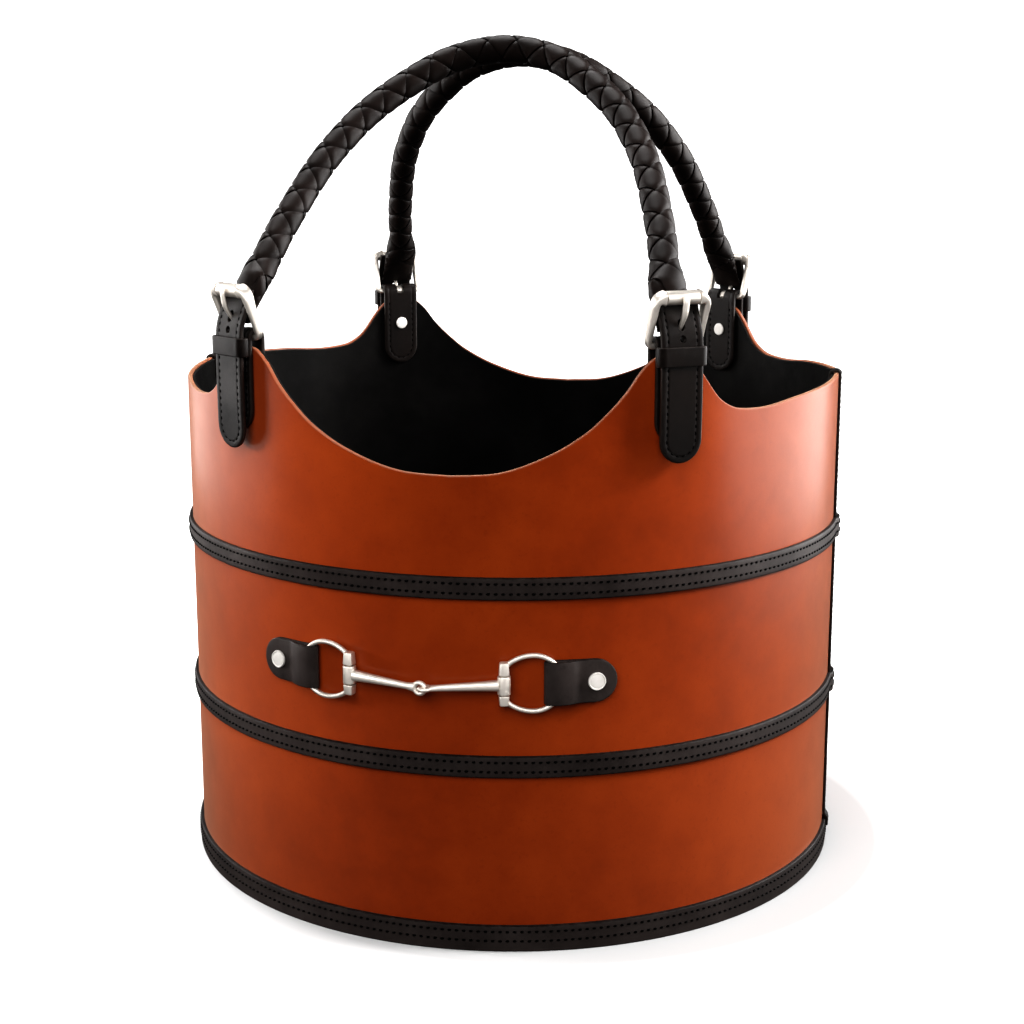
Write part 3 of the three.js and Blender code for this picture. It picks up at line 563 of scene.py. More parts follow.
def make_grain(nodes: Nodes, given: bpy.types.NodeOutputs) -> tuple:
    """Pebbled pores with longer creases between them.

    Args:
        nodes: Adder for the group.
        given: The group's inputs.

    Returns:
        Height and pore mask.
    """
    shift, rim, creases_per_metre, crease_range = 0.0006, 0.22, 260, (0.38, 0.62)
    place, pores, share = (given[name] for name in ("Place", "Pores per metre", "Crease share"))
    bent = nodes.add("ShaderNodeTexNoise", {"Vector": place, "Scale": nodes.math("MULTIPLY", pores, 0.4)})
    shifted = nodes.add(
        "ShaderNodeVectorMath", {0: bent.outputs["Color"], 1: (shift, shift, shift), 2: place},
        operation="MULTIPLY_ADD",
    ).outputs[0]
    cells = nodes.add("ShaderNodeTexVoronoi", {"Vector": shifted, "Scale": pores}, feature="DISTANCE_TO_EDGE")
    dome = nodes.ranged(cells.outputs["Distance"], 0, rim)
    long = nodes.ranged(nodes.noise(place, creases_per_metre, detail=5, rough=0.6), *crease_range)
    height = nodes.math("ADD", nodes.math("MULTIPLY", dome, nodes.math("SUBTRACT", 1.0, share)),
                        nodes.math("MULTIPLY", long, share))
    return height, nodes.math("SUBTRACT", 1.0, dome)


def make_mottle(nodes: Nodes, given: bpy.types.NodeOutputs) -> tuple:
    """Clouds and specks of uneven dye.

    Args:
        nodes: Adder for the group.
        given: The group's inputs.

    Returns:
        Cloud and speck values.
    """
    broad_share, finer, speck_finer = 0.68, 6.0, 45.0
    cloud_range, speck_range = (0.36, 0.64), (0.56, 0.72)
    place, clouds = given["Place"], given["Clouds per metre"]
    broad = nodes.noise(place, clouds, detail=3, rough=0.5)
    fine = nodes.noise(place, nodes.math("MULTIPLY", clouds, finer), detail=6, rough=0.65)
    cloud = nodes.math("ADD", nodes.math("MULTIPLY", broad, broad_share), nodes.math("MULTIPLY", fine, 1 - broad_share))
    specks = nodes.noise(place, nodes.math("MULTIPLY", clouds, speck_finer), detail=3, rough=0.7)
    return nodes.ranged(cloud, *cloud_range), nodes.ranged(specks, *speck_range)


def make_wear(nodes: Nodes, given: bpy.types.NodeOutputs) -> tuple:
    """Mask of cut edges with flecks: wear on tan and bands, painted shade on the braid, partly painted highlight on
    straps and lining.

    Args:
        nodes: Adder for the group.
        given: The group's inputs.

    Returns:
        Edge mask.
    """
    fleck_range, fleck_share, worn_range = (0.3, 0.7), (-0.35, 0.25), (0.25, 0.95)
    flecks = nodes.noise(given["Place"], given["Flecks per metre"], detail=4, rough=0.6)
    worn = nodes.math("ADD", given["Nearness"], nodes.ranged(flecks, *fleck_range, *fleck_share))
    return (nodes.ranged(worn, *worn_range),)


def make_scratch(nodes: Nodes, given: bpy.types.NodeOutputs) -> tuple:
    """Fine scratches left by polishing.

    Args:
        nodes: Adder for the group.
        given: The group's inputs.

    Returns:
        Height and haze values.
    """
    along, hazes_per_metre, haze_range = 0.12, 140, (0.35, 0.7)
    drawn_out = nodes.stretched(given["Place"], (1.0, 1.0, along))
    lines = nodes.noise(drawn_out, given["Lines per metre"], detail=2, rough=0.6)
    haze = nodes.noise(given["Place"], hazes_per_metre, detail=4, rough=0.6)
    return lines, nodes.ranged(haze, *haze_range)


MAKERS = {
    Effect.GRAIN: make_grain,
    Effect.MOTTLE: make_mottle,
    Effect.WEAR: make_wear,
    Effect.SCRATCH: make_scratch,
}


@dataclass(frozen=True)
class Finish:
    """A surface finish, made into one material the first time that it is asked for."""

    name: str
    slot: Slot
    ending: ClassVar[str] = "leather"

    def material(self) -> bpy.types.Material:
        """Makes or finds the material.

        Returns:
            The finish's Blender material.
        """
        if self.name in bpy.data.materials:
            return bpy.data.materials[self.name]
        made = bpy.data.materials.new(self.name)
        made.use_nodes = True
        nodes = Nodes(made.node_tree)
        shader = made.node_tree.nodes["Principled BSDF"]
        place = nodes.add("ShaderNodeTexCoord").outputs["Object"]
        self.dress(nodes, shader, place)
        return made

    def dress(self, nodes: Nodes, shader: bpy.types.Node, place: Socket) -> None:
        """Sets up the shader, here left plain."""

    @staticmethod
    def effect(nodes: Nodes, kind: Effect, place: Socket, **values: object) -> bpy.types.NodeOutputs:
        """Places a shared effect.

        Args:
            nodes: Adder for the material.
            kind: Which effect.
            place: Coordinates for it.
            **values: Its other inputs, with underscores for spaces.

        Returns:
            The group's outputs.
        """
        inputs = {"Place": place, **{key.replace("_", " "): value for key, value in values.items()}}
        return nodes.add("ShaderNodeGroup", inputs, node_tree=effect_tree(kind)).outputs


@dataclass(frozen=True)
class Leather(Finish):
    """Dyed leather with grain, uneven dye, and an edge colour at its cut edges that is partly rubbed wear and partly
    painted edge light.
    """

    deep: tuple = (0.0, 0.0, 0.0, 1)
    middle: tuple = (0.0, 0.0, 0.0, 1)
    light: tuple = (0.0, 0.0, 0.0, 1)
    edge: tuple = (0.0, 0.0, 0.0, 1)
    clouds: float = 9.0
    pores: float = 1400.0
    creases: float = 0.3
    grain_depth: float = 0.00006
    grain_strength: float = 0.5
    smooth: float = 0.36
    rough: float = 0.5
    specular: float = 0.5
    coat: float = 0.0
    coat_roughness: float = 0.3
    sheen: float = 0.0
    sheen_tint: tuple = (1.0, 1.0, 1.0, 1)
    speck_share: float = 0.35
    pore_share: float = 0.25
    edge_rougher: float = 0.06

    def dress(self, nodes: Nodes, shader: bpy.types.Node, place: Socket) -> None:
        """Sets up the shader.

        Args:
            nodes: Adder for the material.
            shader: The material's shader.
            place: Coordinates on the piece.
        """
        dye = self.effect(nodes, Effect.MOTTLE, place, Clouds_per_metre=self.clouds)
        grain = self.effect(nodes, Effect.GRAIN, place, Pores_per_metre=self.pores, Crease_share=self.creases)
        nearness = nodes.add("ShaderNodeAttribute", attribute_name=WEAR).outputs["Fac"]
        wear = self.effect(nodes, Effect.WEAR, place, Nearness=nearness)["Mask"]
        ramp = nodes.add("ShaderNodeValToRGB", {0: dye["Cloud"]})
        ramp.color_ramp.elements[0].color = self.deep
        ramp.color_ramp.elements[1].color = self.light
        ramp.color_ramp.elements.new(0.5).color = self.middle
        specked = nodes.mixed(nodes.math("MULTIPLY", dye["Specks"], self.speck_share), ramp.outputs[0], self.deep)
        dyed = nodes.mixed(nodes.math("MULTIPLY", grain["Pores"], self.pore_share), specked, self.deep)
        nodes.fill(shader, {
            # Edge colour: rubbed wear on tan and bands, painted shade on the braid, partly painted highlight on straps
            # and lining.
            "Base Color": nodes.mixed(wear, dyed, self.edge),
            "Roughness": nodes.math("ADD", nodes.ranged(dye["Cloud"], 0, 1, self.rough, self.smooth),
                                    nodes.math("MULTIPLY", wear, self.edge_rougher)),
            "Normal": nodes.bumped(grain["Height"], self.grain_depth, self.grain_strength),
            "Specular IOR Level": self.specular,
            "Coat Weight": self.coat,
            "Coat Roughness": self.coat_roughness,
            "Sheen Weight": self.sheen,
            "Sheen Tint": self.sheen_tint,
        })


@dataclass(frozen=True)
class Nickel(Finish):
    """Polished plated metal with a light haze and fine scratches."""

    ending: ClassVar[str] = "metal"
    bright: tuple = (0.82, 0.78, 0.73, 1)
    dull: tuple = (0.68, 0.63, 0.58, 1)
    smooth: float = 0.045
    hazy: float = 0.1
    metallic: float = 1.0
    scratches: float = 1500.0
    scratch_depth: float = 0.00003
    scratch_strength: float = 0.25

    def dress(self, nodes: Nodes, shader: bpy.types.Node, place: Socket) -> None:
        """Sets up the shader.

        Args:
            nodes: Adder for the material.
            shader: The material's shader.
            place: Coordinates on the piece.
        """
        scratch = self.effect(nodes, Effect.SCRATCH, place, Lines_per_metre=self.scratches)
        nodes.fill(shader, {
            "Base Color": nodes.mixed(scratch["Haze"], self.bright, self.dull),
            "Roughness": nodes.ranged(scratch["Haze"], 0, 1, self.smooth, self.hazy),
            "Normal": nodes.bumped(scratch["Height"], self.scratch_depth, self.scratch_strength),
            "Metallic": self.metallic,
        })


@dataclass(frozen=True)
class Fibre(Finish):
    """Fibres of two close colours, by default those of raw pressed board."""

    dark: tuple = (0.10, 0.065, 0.04, 1)
    light: tuple = (0.22, 0.155, 0.10, 1)
    per_metre: float = 320.0
    detail: float = 6.0
    harshness: float = 0.7
    depth: float = 0.0003
    strength: float = 0.5
    roughness: float = 0.85
    specular: float = 0.5

    def dress(self, nodes: Nodes, shader: bpy.types.Node, place: Socket) -> None:
        """Sets up the shader.

        Args:
            nodes: Adder for the material.
            shader: The material's shader.
            place: Coordinates on the piece.
        """
        fibre = nodes.noise(place, self.per_metre, self.detail, self.harshness)
        nodes.fill(shader, {
            "Base Color": nodes.mixed(fibre, self.dark, self.light),
            "Roughness": self.roughness,
            "Normal": nodes.bumped(fibre, self.depth, self.strength),
            "Specular IOR Level": self.specular,
        })


@dataclass(frozen=True)
class Thread(Fibre):
    """Waxed twisted thread."""

    ending: ClassVar[str] = "stitches"
    dark: tuple = (0.0008, 0.0007, 0.0006, 1)
    light: tuple = (0.003, 0.0025, 0.0023, 1)
    per_metre: float = 1500.0
    detail: float = 2.0
    harshness: float = 0.5
    depth: float = 0.0001
    strength: float = 0.6
    roughness: float = 0.5
    specular: float = 0.2


SADDLE_TAN = Leather(
    "saddle_tan", Slot.SADDLE, deep=(0.19, 0.026, 0.002, 1), middle=(0.248, 0.037, 0.0035, 1),
    light=(0.305, 0.051, 0.006, 1), edge=(0.21, 0.07, 0.036, 1), clouds=7.0, pores=2400, creases=0.6,
    grain_depth=0.00003, grain_strength=0.2, smooth=0.28, rough=0.36, specular=0.33, coat=0.1, coat_roughness=0.18,
    sheen=0.19, sheen_tint=(1.0, 0.84, 0.6, 1),
)
# The strap leather's edge colour is lighter than its face: partly rubbed edges, partly a painted highlight along them.
STRAP_DARK = Leather(
    "strap_dark", Slot.DARK, deep=(0.005, 0.0035, 0.003, 1), middle=(0.0088, 0.0062, 0.0053, 1),
    light=(0.0135, 0.0098, 0.0084, 1),
    edge=(0.024, 0.019, 0.017, 1), clouds=30.0, pores=1900, grain_depth=0.00005, grain_strength=0.35,
    smooth=0.36, rough=0.48, specular=0.46,
)
BAND_DARK = Leather(
    "band_dark", Slot.DARK, deep=(0.025, 0.0195, 0.018, 1), middle=(0.038, 0.03, 0.0278, 1),
    light=(0.052, 0.042, 0.039, 1),
    edge=(0.006, 0.005, 0.0046, 1), clouds=22.0, pores=1900, grain_depth=0.00004, grain_strength=0.3,
    smooth=0.42, rough=0.52, specular=0.4,
)
# The braid's edge colour is near black: painted shade in the cracks between its strands.
BRAID_DARK = Leather(
    "braid_dark", Slot.DARK, deep=(0.007, 0.0045, 0.0038, 1), middle=(0.012, 0.008, 0.0069, 1),
    light=(0.018, 0.0125, 0.011, 1),
    edge=(0.002, 0.0014, 0.0012, 1), clouds=40.0, pores=2400, grain_depth=0.00004, grain_strength=0.3,
    smooth=0.4, rough=0.5, specular=0.4,
)
# The lining's lighter edge colour is partly a painted highlight on its top edge.
LINING_BLACK = Leather(
    "lining_black", Slot.LINING, deep=(0.003, 0.0028, 0.0026, 1), middle=(0.0055, 0.005, 0.0048, 1),
    light=(0.009, 0.0083, 0.0078, 1), edge=(0.012, 0.011, 0.01, 1), clouds=14.0, pores=1300,
    grain_depth=0.0001, grain_strength=0.5, smooth=0.5, rough=0.65, specular=0.14,
)
SATIN_NICKEL = Nickel("satin_nickel", Slot.NICKEL)
BRUSHED_CAP = Nickel(
    "brushed_cap", Slot.NICKEL, bright=(0.50, 0.475, 0.45, 1), dull=(0.42, 0.40, 0.375, 1), smooth=0.36, hazy=0.48,
    metallic=0.35,
)
BLACK_THREAD = Thread("black_thread", Slot.DARK)
PRESSED_BOARD = Fibre("pressed_board", Slot.BOARD)


# Sewing and cut leather


@dataclass(frozen=True)
class Sewing:
    """Row of saddle stitches, each a thread that dips into the leather at both ends."""

    pitch: float = 4.0
    length: float = 2.7
    thickness: float = 0.42
    rise: float = 0.16
    sink: float = 0.45
    slant: float = 8.0
    sides: int = 6
    half_way_rise: float = 0.8
    taper: tuple = ((-1, 0.35), (-0.86, 0.75), (-0.45, 1), (0, 1), (0.45, 1), (0.86, 0.75), (1, 0.35))

    def sew(self, shape: Shape, line: Array, normals: Array) -> None:
        """Adds stitches along a line.

        Args:
            shape: Shape that takes the stitches.
            line: Points on the leather.
            normals: Outward direction at each point.
        """
        lengths = run_lengths(line)
        count = int(lengths[-1] // self.pitch)
        middles = (np.arange(count) + 0.5) * lengths[-1] / count
        centre = along_line(line, middles)
        along = unit(along_line(line, middles + self.length / 2) - along_line(line, middles - self.length / 2))
        up = np.stack([np.interp(middles, lengths, normals[:, k]) for k in range(3)], axis=-1)
        up = unit(up - along * np.sum(up * along, axis=1, keepdims=True))
        side = np.cross(up, along)
        shares, sizes = np.array(self.taper).T
        radius = self.thickness * sizes
        height = np.interp(np.abs(shares), [0, 0.5, 1], [self.rise, self.rise * self.half_way_rise, -self.sink])
        turn = math.radians(self.slant)
        circle = round_profile(self.sides)
        x = shares[:, None] * self.length / 2 + 0 * circle[None, :, 0]
        y = radius[:, None] * circle[None, :, 0]
        z = height[:, None] + radius[:, None] * circle[None, :, 1]
        x, y = x * math.cos(turn) - y * math.sin(turn), x * math.sin(turn) + y * math.cos(turn)
        for c, a, s, u in zip(centre, along, side, up):
            shape.add_rings(c + x[..., None] * a + y[..., None] * s + z[..., None] * u)


@dataclass
class Run:
    """Line in a plane of [in, up] places, or [from, out] places, that a piece of leather follows."""

    line: Array
    front: float = 1.0

    @property
    def length(self) -> float:
        """Its whole length."""
        return float(run_lengths(self.line)[-1])

    def at(self, distance: Array, off: Array) -> tuple[Array, Array]:
        """Places at distances along it, and off its front side.

        Args:
            distance: Distances along the line.
            off: Distances off it.

        Returns:
            The two places of the plane.
        """
        lengths = run_lengths(self.line)
        step = 0.25
        here = along_line(self.line, distance)
        way = unit(along_line(self.line, distance + step) - along_line(self.line, distance - step))
        return here[:, 0] + self.front * off * way[:, 1], here[:, 1] - self.front * off * way[:, 0]

    def distance_at(self, up: float) -> float:
        """Distance of its first point that reaches a height.

        Args:
            up: The height.

        Returns:
            Distance along the line.
        """
        rising = self.line[1, 1] > self.line[0, 1]
        passed = np.nonzero(self.line[:, 1] >= up if rising else self.line[:, 1] <= up)[0]
        return float(run_lengths(self.line)[passed[0]])


@dataclass
class CutLeather:
    """Strip of leather with rounded edges, a creased stitch line and holes, cut flat and then laid along a run."""

    length: float
    width: float
    thickness: float
    edge: float = 0.7
    round_start: bool = False
    round_end: bool = False
    groove: float = 0.0
    groove_depth: float = 0.25
    groove_half: float = 0.8
    groove_flat: float = 0.25
    holes: list[Array] = field(default_factory=list)
    hole_bevel: float = 0.35
    worn_full: float = 1.15
    worn_reach: float = 1.2
    step: float = 2.0
    cut_within: float = 0.02
    round_steps: int = 18
    sewn_step: float = 0.8

    def outline(self, inset: float) -> Array:
        """Outline of the strip, moved in from its edge.

        Args:
            inset: How far.

        Returns:
            Points of [across, along].
        """
        half = self.width / 2 - inset
        radius = self.width / 2
        if self.round_end:
            end = arc((0, self.length - radius), half, 0, 180, self.round_steps)
        else:
            end = np.array([(half, self.length - inset), (-half, self.length - inset)])
        if self.round_start:
            start = arc((0, radius), half, 180, 360, self.round_steps)
        else:
            start = np.array([(-half, inset), (half, inset)])
        return np.vstack([start, end])

    def rows(self) -> list[tuple[float, float]]:
        """Rows of the strip's rounding, from the front's inside over the edge to the back's.

        Returns:
            Inset and height of each row.
        """
        top = self.thickness / 2
        rows = []
        if self.groove:
            inner = self.groove + self.groove_half
            rows += [(inner + self.groove_flat, top), (inner, top), (self.groove, top - self.groove_depth),
                     (self.groove - self.groove_half, top)]
        rows += [(self.edge * (1 - math.sin(a)), top - self.edge * (1 - math.cos(a))) for a in CORNER_TURNS]
        rows += [(inset, -height) for inset, height in rows[-len(CORNER_TURNS):][::-1]]
        return rows

    def lay(self, shape: Shape, run: Run, place: Lay) -> None:
        """Adds the strip, laid along a run.

        Args:
            shape: Shape that takes the strip.
            run: The run.
            place: Gives the basket's places from across places and the two places of the run's plane.
        """
        bm = bmesh.new()
        top = self.thickness / 2
        rings = [[bm.verts.new((*p, height)) for p in self.outline(inset)] for inset, height in self.rows()]
        hole_rings = []
        for hole in self.holes:
            wide = hole + unit(hole - hole.mean(axis=0)) * self.hole_bevel
            levels = [(wide, top), (hole, top - self.hole_bevel), (hole, self.hole_bevel - top), (wide, -top)]
            hole_rings.append([[bm.verts.new((*p, height)) for p in points] for points, height in levels])
        for stack in [rings, *hole_rings]:
            for one, two in zip(stack, stack[1:]):
                for j in range(len(one)):
                    k = (j + 1) % len(one)
                    bm.faces.new((one[j], one[k], two[k], two[j]))
        for level in (0, -1):
            loops = [rings[level], *(stack[level] for stack in hole_rings)]
            corners = [corner for loop in loops for corner in loop]
            for face in filled([np.array([corner.co[:2] for corner in loop]) for loop in loops]):
                bm.faces.new([corners[i] for i in face])
        half = self.width / 2
        tips = np.arange(self.step, half - self.step / 2, self.step)
        steps = round((self.length - self.width) / self.step) + 1
        for along in [*tips, *np.linspace(half, self.length - half, steps), *(self.length - tips)]:
            geometry = [*bm.verts, *bm.edges, *bm.faces]
            bmesh.ops.bisect_plane(
                bm, geom=geometry, plane_co=(0, along, 0), plane_no=(0, 1, 0), dist=self.cut_within,
            )
        bm.verts.index_update()
        flat = np.array([v.co for v in bm.verts])
        faces = [tuple(v.index for v in face.verts) for face in bm.faces]
        bm.free()
        one, two = run.at(flat[:, 1], flat[:, 2])
        shape.add(place(flat[:, 0], one, two), faces, self.nearness(flat))

    def nearness(self, flat: Array) -> Array:
        """How near the cut edge each vertex is.

        Args:
            flat: Vertices of the flat strip.

        Returns:
            Values from 0 to 1.
        """
        half = self.width / 2
        inside = half - np.abs(flat[:, 0])
        for is_round, depth in ((self.round_start, flat[:, 1]), (self.round_end, self.length - flat[:, 1])):
            ended = half - np.hypot(flat[:, 0], np.maximum(half - depth, 0)) if is_round else depth
            inside = np.minimum(inside, ended)
        return np.clip(self.worn_full - inside / (self.edge * self.worn_reach), 0, 1)

    def stitched(self, shape: Shape, run: Run, place: Lay, start: float, end: float, sewing: Sewing) -> None:
        """Sews the groove from a distance, round a rounded end, and back.

        Args:
            shape: Shape that takes the stitches.
            run: The run.
            place: As for lay.
            start: Distance where the stitches start.
            end: Distance where the sides end, or the strip's length for a rounded end.
            sewing: The stitches.
        """
        half = self.width / 2 - self.groove
        if self.round_end and end >= self.length:
            tip = arc((0, self.length - self.width / 2), half, 0, 180, self.round_steps)
            lines = [np.vstack([[half, start], tip, [-half, start]])]
        elif self.round_start and start <= 0:
            tip = arc((0, self.width / 2), half, 180, 360, self.round_steps)
            lines = [np.vstack([[-half, end], tip, [half, end]])]
        else:
            lines = [np.array([[x, start], [x, end]]) for x in (half, -half)]
        top = self.thickness / 2 - self.groove_depth
        for line in lines:
            flat = even_line(line, self.sewn_step)
            low = place(flat[:, 0], *run.at(flat[:, 1], np.full(len(flat), top)))
            high = place(flat[:, 0], *run.at(flat[:, 1], np.full(len(flat), top + 1)))
            sewing.sew(shape, low, unit(high - low))


def slot_hole(length: float, width: float, along: float) -> Array:
    """Outline of a slot with round ends.

    Args:
        length: Its whole length.
        width: Its width.
        along: Distance of its middle along the strip.

    Returns:
        Points of [across, along].
    """
    straight = (length - width) / 2
    return np.vstack([
        arc((0, along + straight), width / 2, 0, 180, 10), arc((0, along - straight), width / 2, 180, 360, 10),
    ])


# Sub-assemblies


@dataclass
class Wall:
    """Panels, lining, floor and seam strips of the straight round body."""

    radius: float = 216.0
    panel: float = 3.0
    lining: float = 1.5
    seat: float = 0.3
    cover: float = 2.0
    board: float = 5.0
    floor: float = 1.2
    lining_down: float = 0.8
    peak: float = 349.8
    front_dip: float = 284.0
    side_dip: float = 315.2
    dip_turn: float = 2.3
    strap_turn: float = 36.5
    seam_turn: float = 90.0
    turn_step: float = 0.5
    panel_edge: float = 0.8
    below_edge: float = 0.5
    edge_wear: tuple = (0.1, 0.5, 0.9, 1, 1, 1, 1, 1, 1)
    lining_edge: float = 0.5
    floor_edge: float = 0.5
    cover_edge: float = 0.6
    strip_width: float = 9.0
    strip_thickness: float = 1.6
    strip_seat: float = 0.08
    strip_fold: float = 14.0
    strip_over_band: float = 5.0
    strip_corner: float = 1.0
    strip_crown: float = 0.2
    strip_unstitched: float = 2.0
    strip_over_rows: tuple = ((0, -1), (0.3, 0.6))
    strip_under_rows: tuple = ((-0.2, 3.6), (0, 5))
    strip_straight: tuple[float, float] = (20.0, 12.0)
    base_band: float = 16.1
    band_thickness: float = 2.0
    front_shares: tuple = (
        (0, 0), (0.22, 0.035), (0.44, 0.19), (0.6, 0.374), (0.7, 0.545),
        (0.78, 0.71), (0.84, 0.87), (0.91, 0.985), (1, 1),
    )
    side_shares: tuple = (
        (0, 1), (0.05, 0.93), (0.093, 0.69), (0.15, 0.283), (0.198, 0.1),
        (0.247, 0.026), (0.355, 0), (0.518, 0.072), (0.774, 0.133), (1, 0.182),
    )

    def share_at(self, rows: tuple, place: float) -> float:
        """Smooth value of a table of [place, value] rows.

        Args:
            rows: The table.
            place: Where.

        Returns:
            The value.
        """
        xs, ys = zip(*rows)
        last = len(xs) - 1
        k = next((i for i in range(last) if place <= xs[i + 1]), last - 1)
        sides = [(max(i - 1, 0), min(i + 1, last)) for i in (k, k + 1)]
        slope, next_slope = ((ys[b] - ys[a]) / (xs[b] - xs[a]) for a, b in sides)
        span = xs[k + 1] - xs[k]
        t = min(max((place - xs[k]) / span, 0), 1)
        rest = 1 - t
        return (rest**2 * (1 + 2 * t) * ys[k] + t**2 * (1 + 2 * rest) * ys[k + 1]
                + t * rest * span * (rest * slope - t * next_slope))

    def rim(self, turn: float) -> float:
        """Height of the rim at a turn.

        Args:
            turn: The turn.

        Returns:
            Height above the underside.
        """
        wrapped = (turn + 180) % 360 - 180
        back = abs(wrapped) > self.seam_turn
        own = math.copysign(180, wrapped) - wrapped if back else wrapped
        if abs(own) >= self.strap_turn:
            share = (abs(own) - self.strap_turn) / (self.seam_turn - self.strap_turn)
            return self.side_dip + (self.peak - self.side_dip) * self.share_at(self.side_shares, share)
        dip = 0 if back else self.dip_turn
        share = (own - dip) / ((math.copysign(self.strap_turn, own - dip) - dip) or 1)
        return self.front_dip + (self.peak - self.front_dip) * self.share_at(self.front_shares, share)

    def shell(self, inner: float, outer: float, bottom: float, down: float, edge: float, turns: Array,
              closed: bool) -> Shape:
        """Wall between two distances from the axis, with a rounded upper edge.

        Args:
            inner: Inner distance.
            outer: Outer distance.
            bottom: Height of its lower edge.
            down: How far its upper edge lies below the rim.
            edge: Radius of the upper edge.
            turns: Turns that it passes.
            closed: Whether it goes all the way round.

        Returns:
            The shape.
        """
        rows = 9
        shares = np.linspace(0, 1, rows)
        across, above = edge * (1 - np.cos(CORNER_TURNS)), edge * np.sin(CORNER_TURNS)
        radii = np.concatenate([np.full(rows, outer), outer - across, inner + across[::-1], np.full(rows, inner)])
        wear = np.concatenate([np.zeros(rows - 1), self.edge_wear, np.zeros(rows)])
        rings = []
        for turn in turns:
            top = self.rim(turn) - down - edge
            side = bottom + (top - bottom - self.below_edge) * shares
            heights = np.concatenate([side, top + above, top + above[::-1], side[::-1]])
            rings.append(at_turn(turn, radii, heights))
        return Shape().add_rings(np.array(rings), closed=closed, wear=wear)

    def build_panels(self) -> None:
        """Makes both tan panels."""
        gap = math.degrees(self.seat / 2 / self.radius)
        bottom = self.cover + self.seat
        for name, start, end in (("front_panel", -90, 90), ("back_panel", 90, 270)):
            turns = np.linspace(start + gap, end - gap, round(180 / self.turn_step) + 1)
            shape = self.shell(self.radius - self.panel, self.radius, bottom, 0, self.panel_edge, turns, closed=False)
            shape.piece(name, SADDLE_TAN, "basket")

    def build_linings(self) -> None:
        """Makes the wall lining and the floor lining."""
        outer = self.radius - self.panel - self.seat
        inner = outer - self.lining
        bottom = self.cover + self.seat + self.board + self.seat
        turns = np.arange(-180, 180, self.turn_step)
        shape = self.shell(inner, outer, bottom, self.lining_down, self.lining_edge, turns, closed=True)
        shape.piece("wall_lining", LINING_BLACK, "basket")
        floor = self.disc(inner - self.seat, bottom, bottom + self.floor, self.floor_edge, rows=10)
        floor.piece("floor_lining", LINING_BLACK, "basket")

    def build_base(self) -> None:
        """Makes the leather under the base and dresses the board inside it."""
        self.disc(self.radius, 0, self.cover, self.cover_edge, rows=6).piece("base_cover", STRAP_DARK, "basket")
        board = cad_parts["base_board"]
        board.data.materials.clear()
        board.data.materials.append(PRESSED_BOARD.material())

    def disc(self, radius: float, bottom: float, top: float, edge: float, rows: int) -> Shape:
        """Flat disc with rounded edges.

        Args:
            radius: Its radius.
            bottom: Height of its underside.
            top: Height of its top.
            edge: Radius of its edges.
            rows: Rings of each flat side.

        Returns:
            The shape.
        """
        outline = rounded([(0, bottom), (radius, bottom), (radius, top), (0, top)], [0, edge, edge, 0])
        flat = np.linspace(0, radius - 2 * edge, rows)[1:]
        outline = np.vstack([
            outline[:1], np.stack([flat, np.full(len(flat), bottom)], axis=-1), outline[1:-1],
            np.stack([flat[::-1], np.full(len(flat), top)], axis=-1), outline[-1:],
        ])
        near = np.clip((outline[:, 0] - radius + 2 * edge) / edge, 0, 1)
        rings = turned(outline, np.zeros(3), UP, at_turn(0, 1, 0), sides=180)
        return Shape().add_rings(rings, closed=True, wear=near)

    def build_seam_strips(self) -> None:
        """Makes the strips over the side seams, from over the base band up and over the rim."""
        wall = self.panel + self.seat + self.lining
        off = self.strip_seat + self.strip_thickness / 2
        top = self.rim(self.seam_turn)
        fold = off + self.strip_corner
        crown = top + off + self.strip_crown
        over = self.seat + self.band_thickness + off
        edge = self.base_band + self.seat
        above_edge, below_top = self.strip_straight
        knots = np.vstack([
            [(-over, self.base_band - self.strip_over_band)],
            [(-over + inward, edge + up) for inward, up in self.strip_over_rows],
            [(-off + inward, edge + up) for inward, up in self.strip_under_rows],
            [(-off, height) for height in np.linspace(edge + above_edge, top - below_top, 8)],
            arc((fold - off, crown - fold), fold, 180, 90, 6),
            arc((wall + off - fold, crown - fold), fold, 90, 0, 6),
            [(wall + off, top - self.strip_fold / 2), (wall + off, top - self.strip_fold)],
        ])
        run = Run(smooth_line(knots, 10), front=-1)
        leather = CutLeather(
            run.length, self.strip_width, self.strip_thickness, edge=0.45, groove=1.7, groove_depth=0.2,
            groove_half=0.35, step=1.5,
        )
        sewing = Sewing(pitch=3.8, length=2.7, thickness=0.28, rise=0.16, sink=0.3)
        for side in Side:
            station = Station(side.value * self.seam_turn)

            def place(across: Array, inward: Array, up: Array, station: Station = station) -> Array:
                """Places at the seam."""
                return station.place(np.stack([across, inward, up], axis=-1))

            strip, threads = Shape(), Shape()
            node = f"seam_strip_{side.label}"
            leather.lay(strip, run, place)
            strip.piece(node, STRAP_DARK, "basket", Slot.LINING)
            leather.stitched(threads, run, place, self.strip_unstitched, run.length - self.strip_unstitched, sewing)
            threads.piece(node, BLACK_THREAD, "basket")

    def build(self) -> None:
        """Makes all of the body."""
        self.build_panels()
        self.build_linings()
        self.build_base()
        self.build_seam_strips()


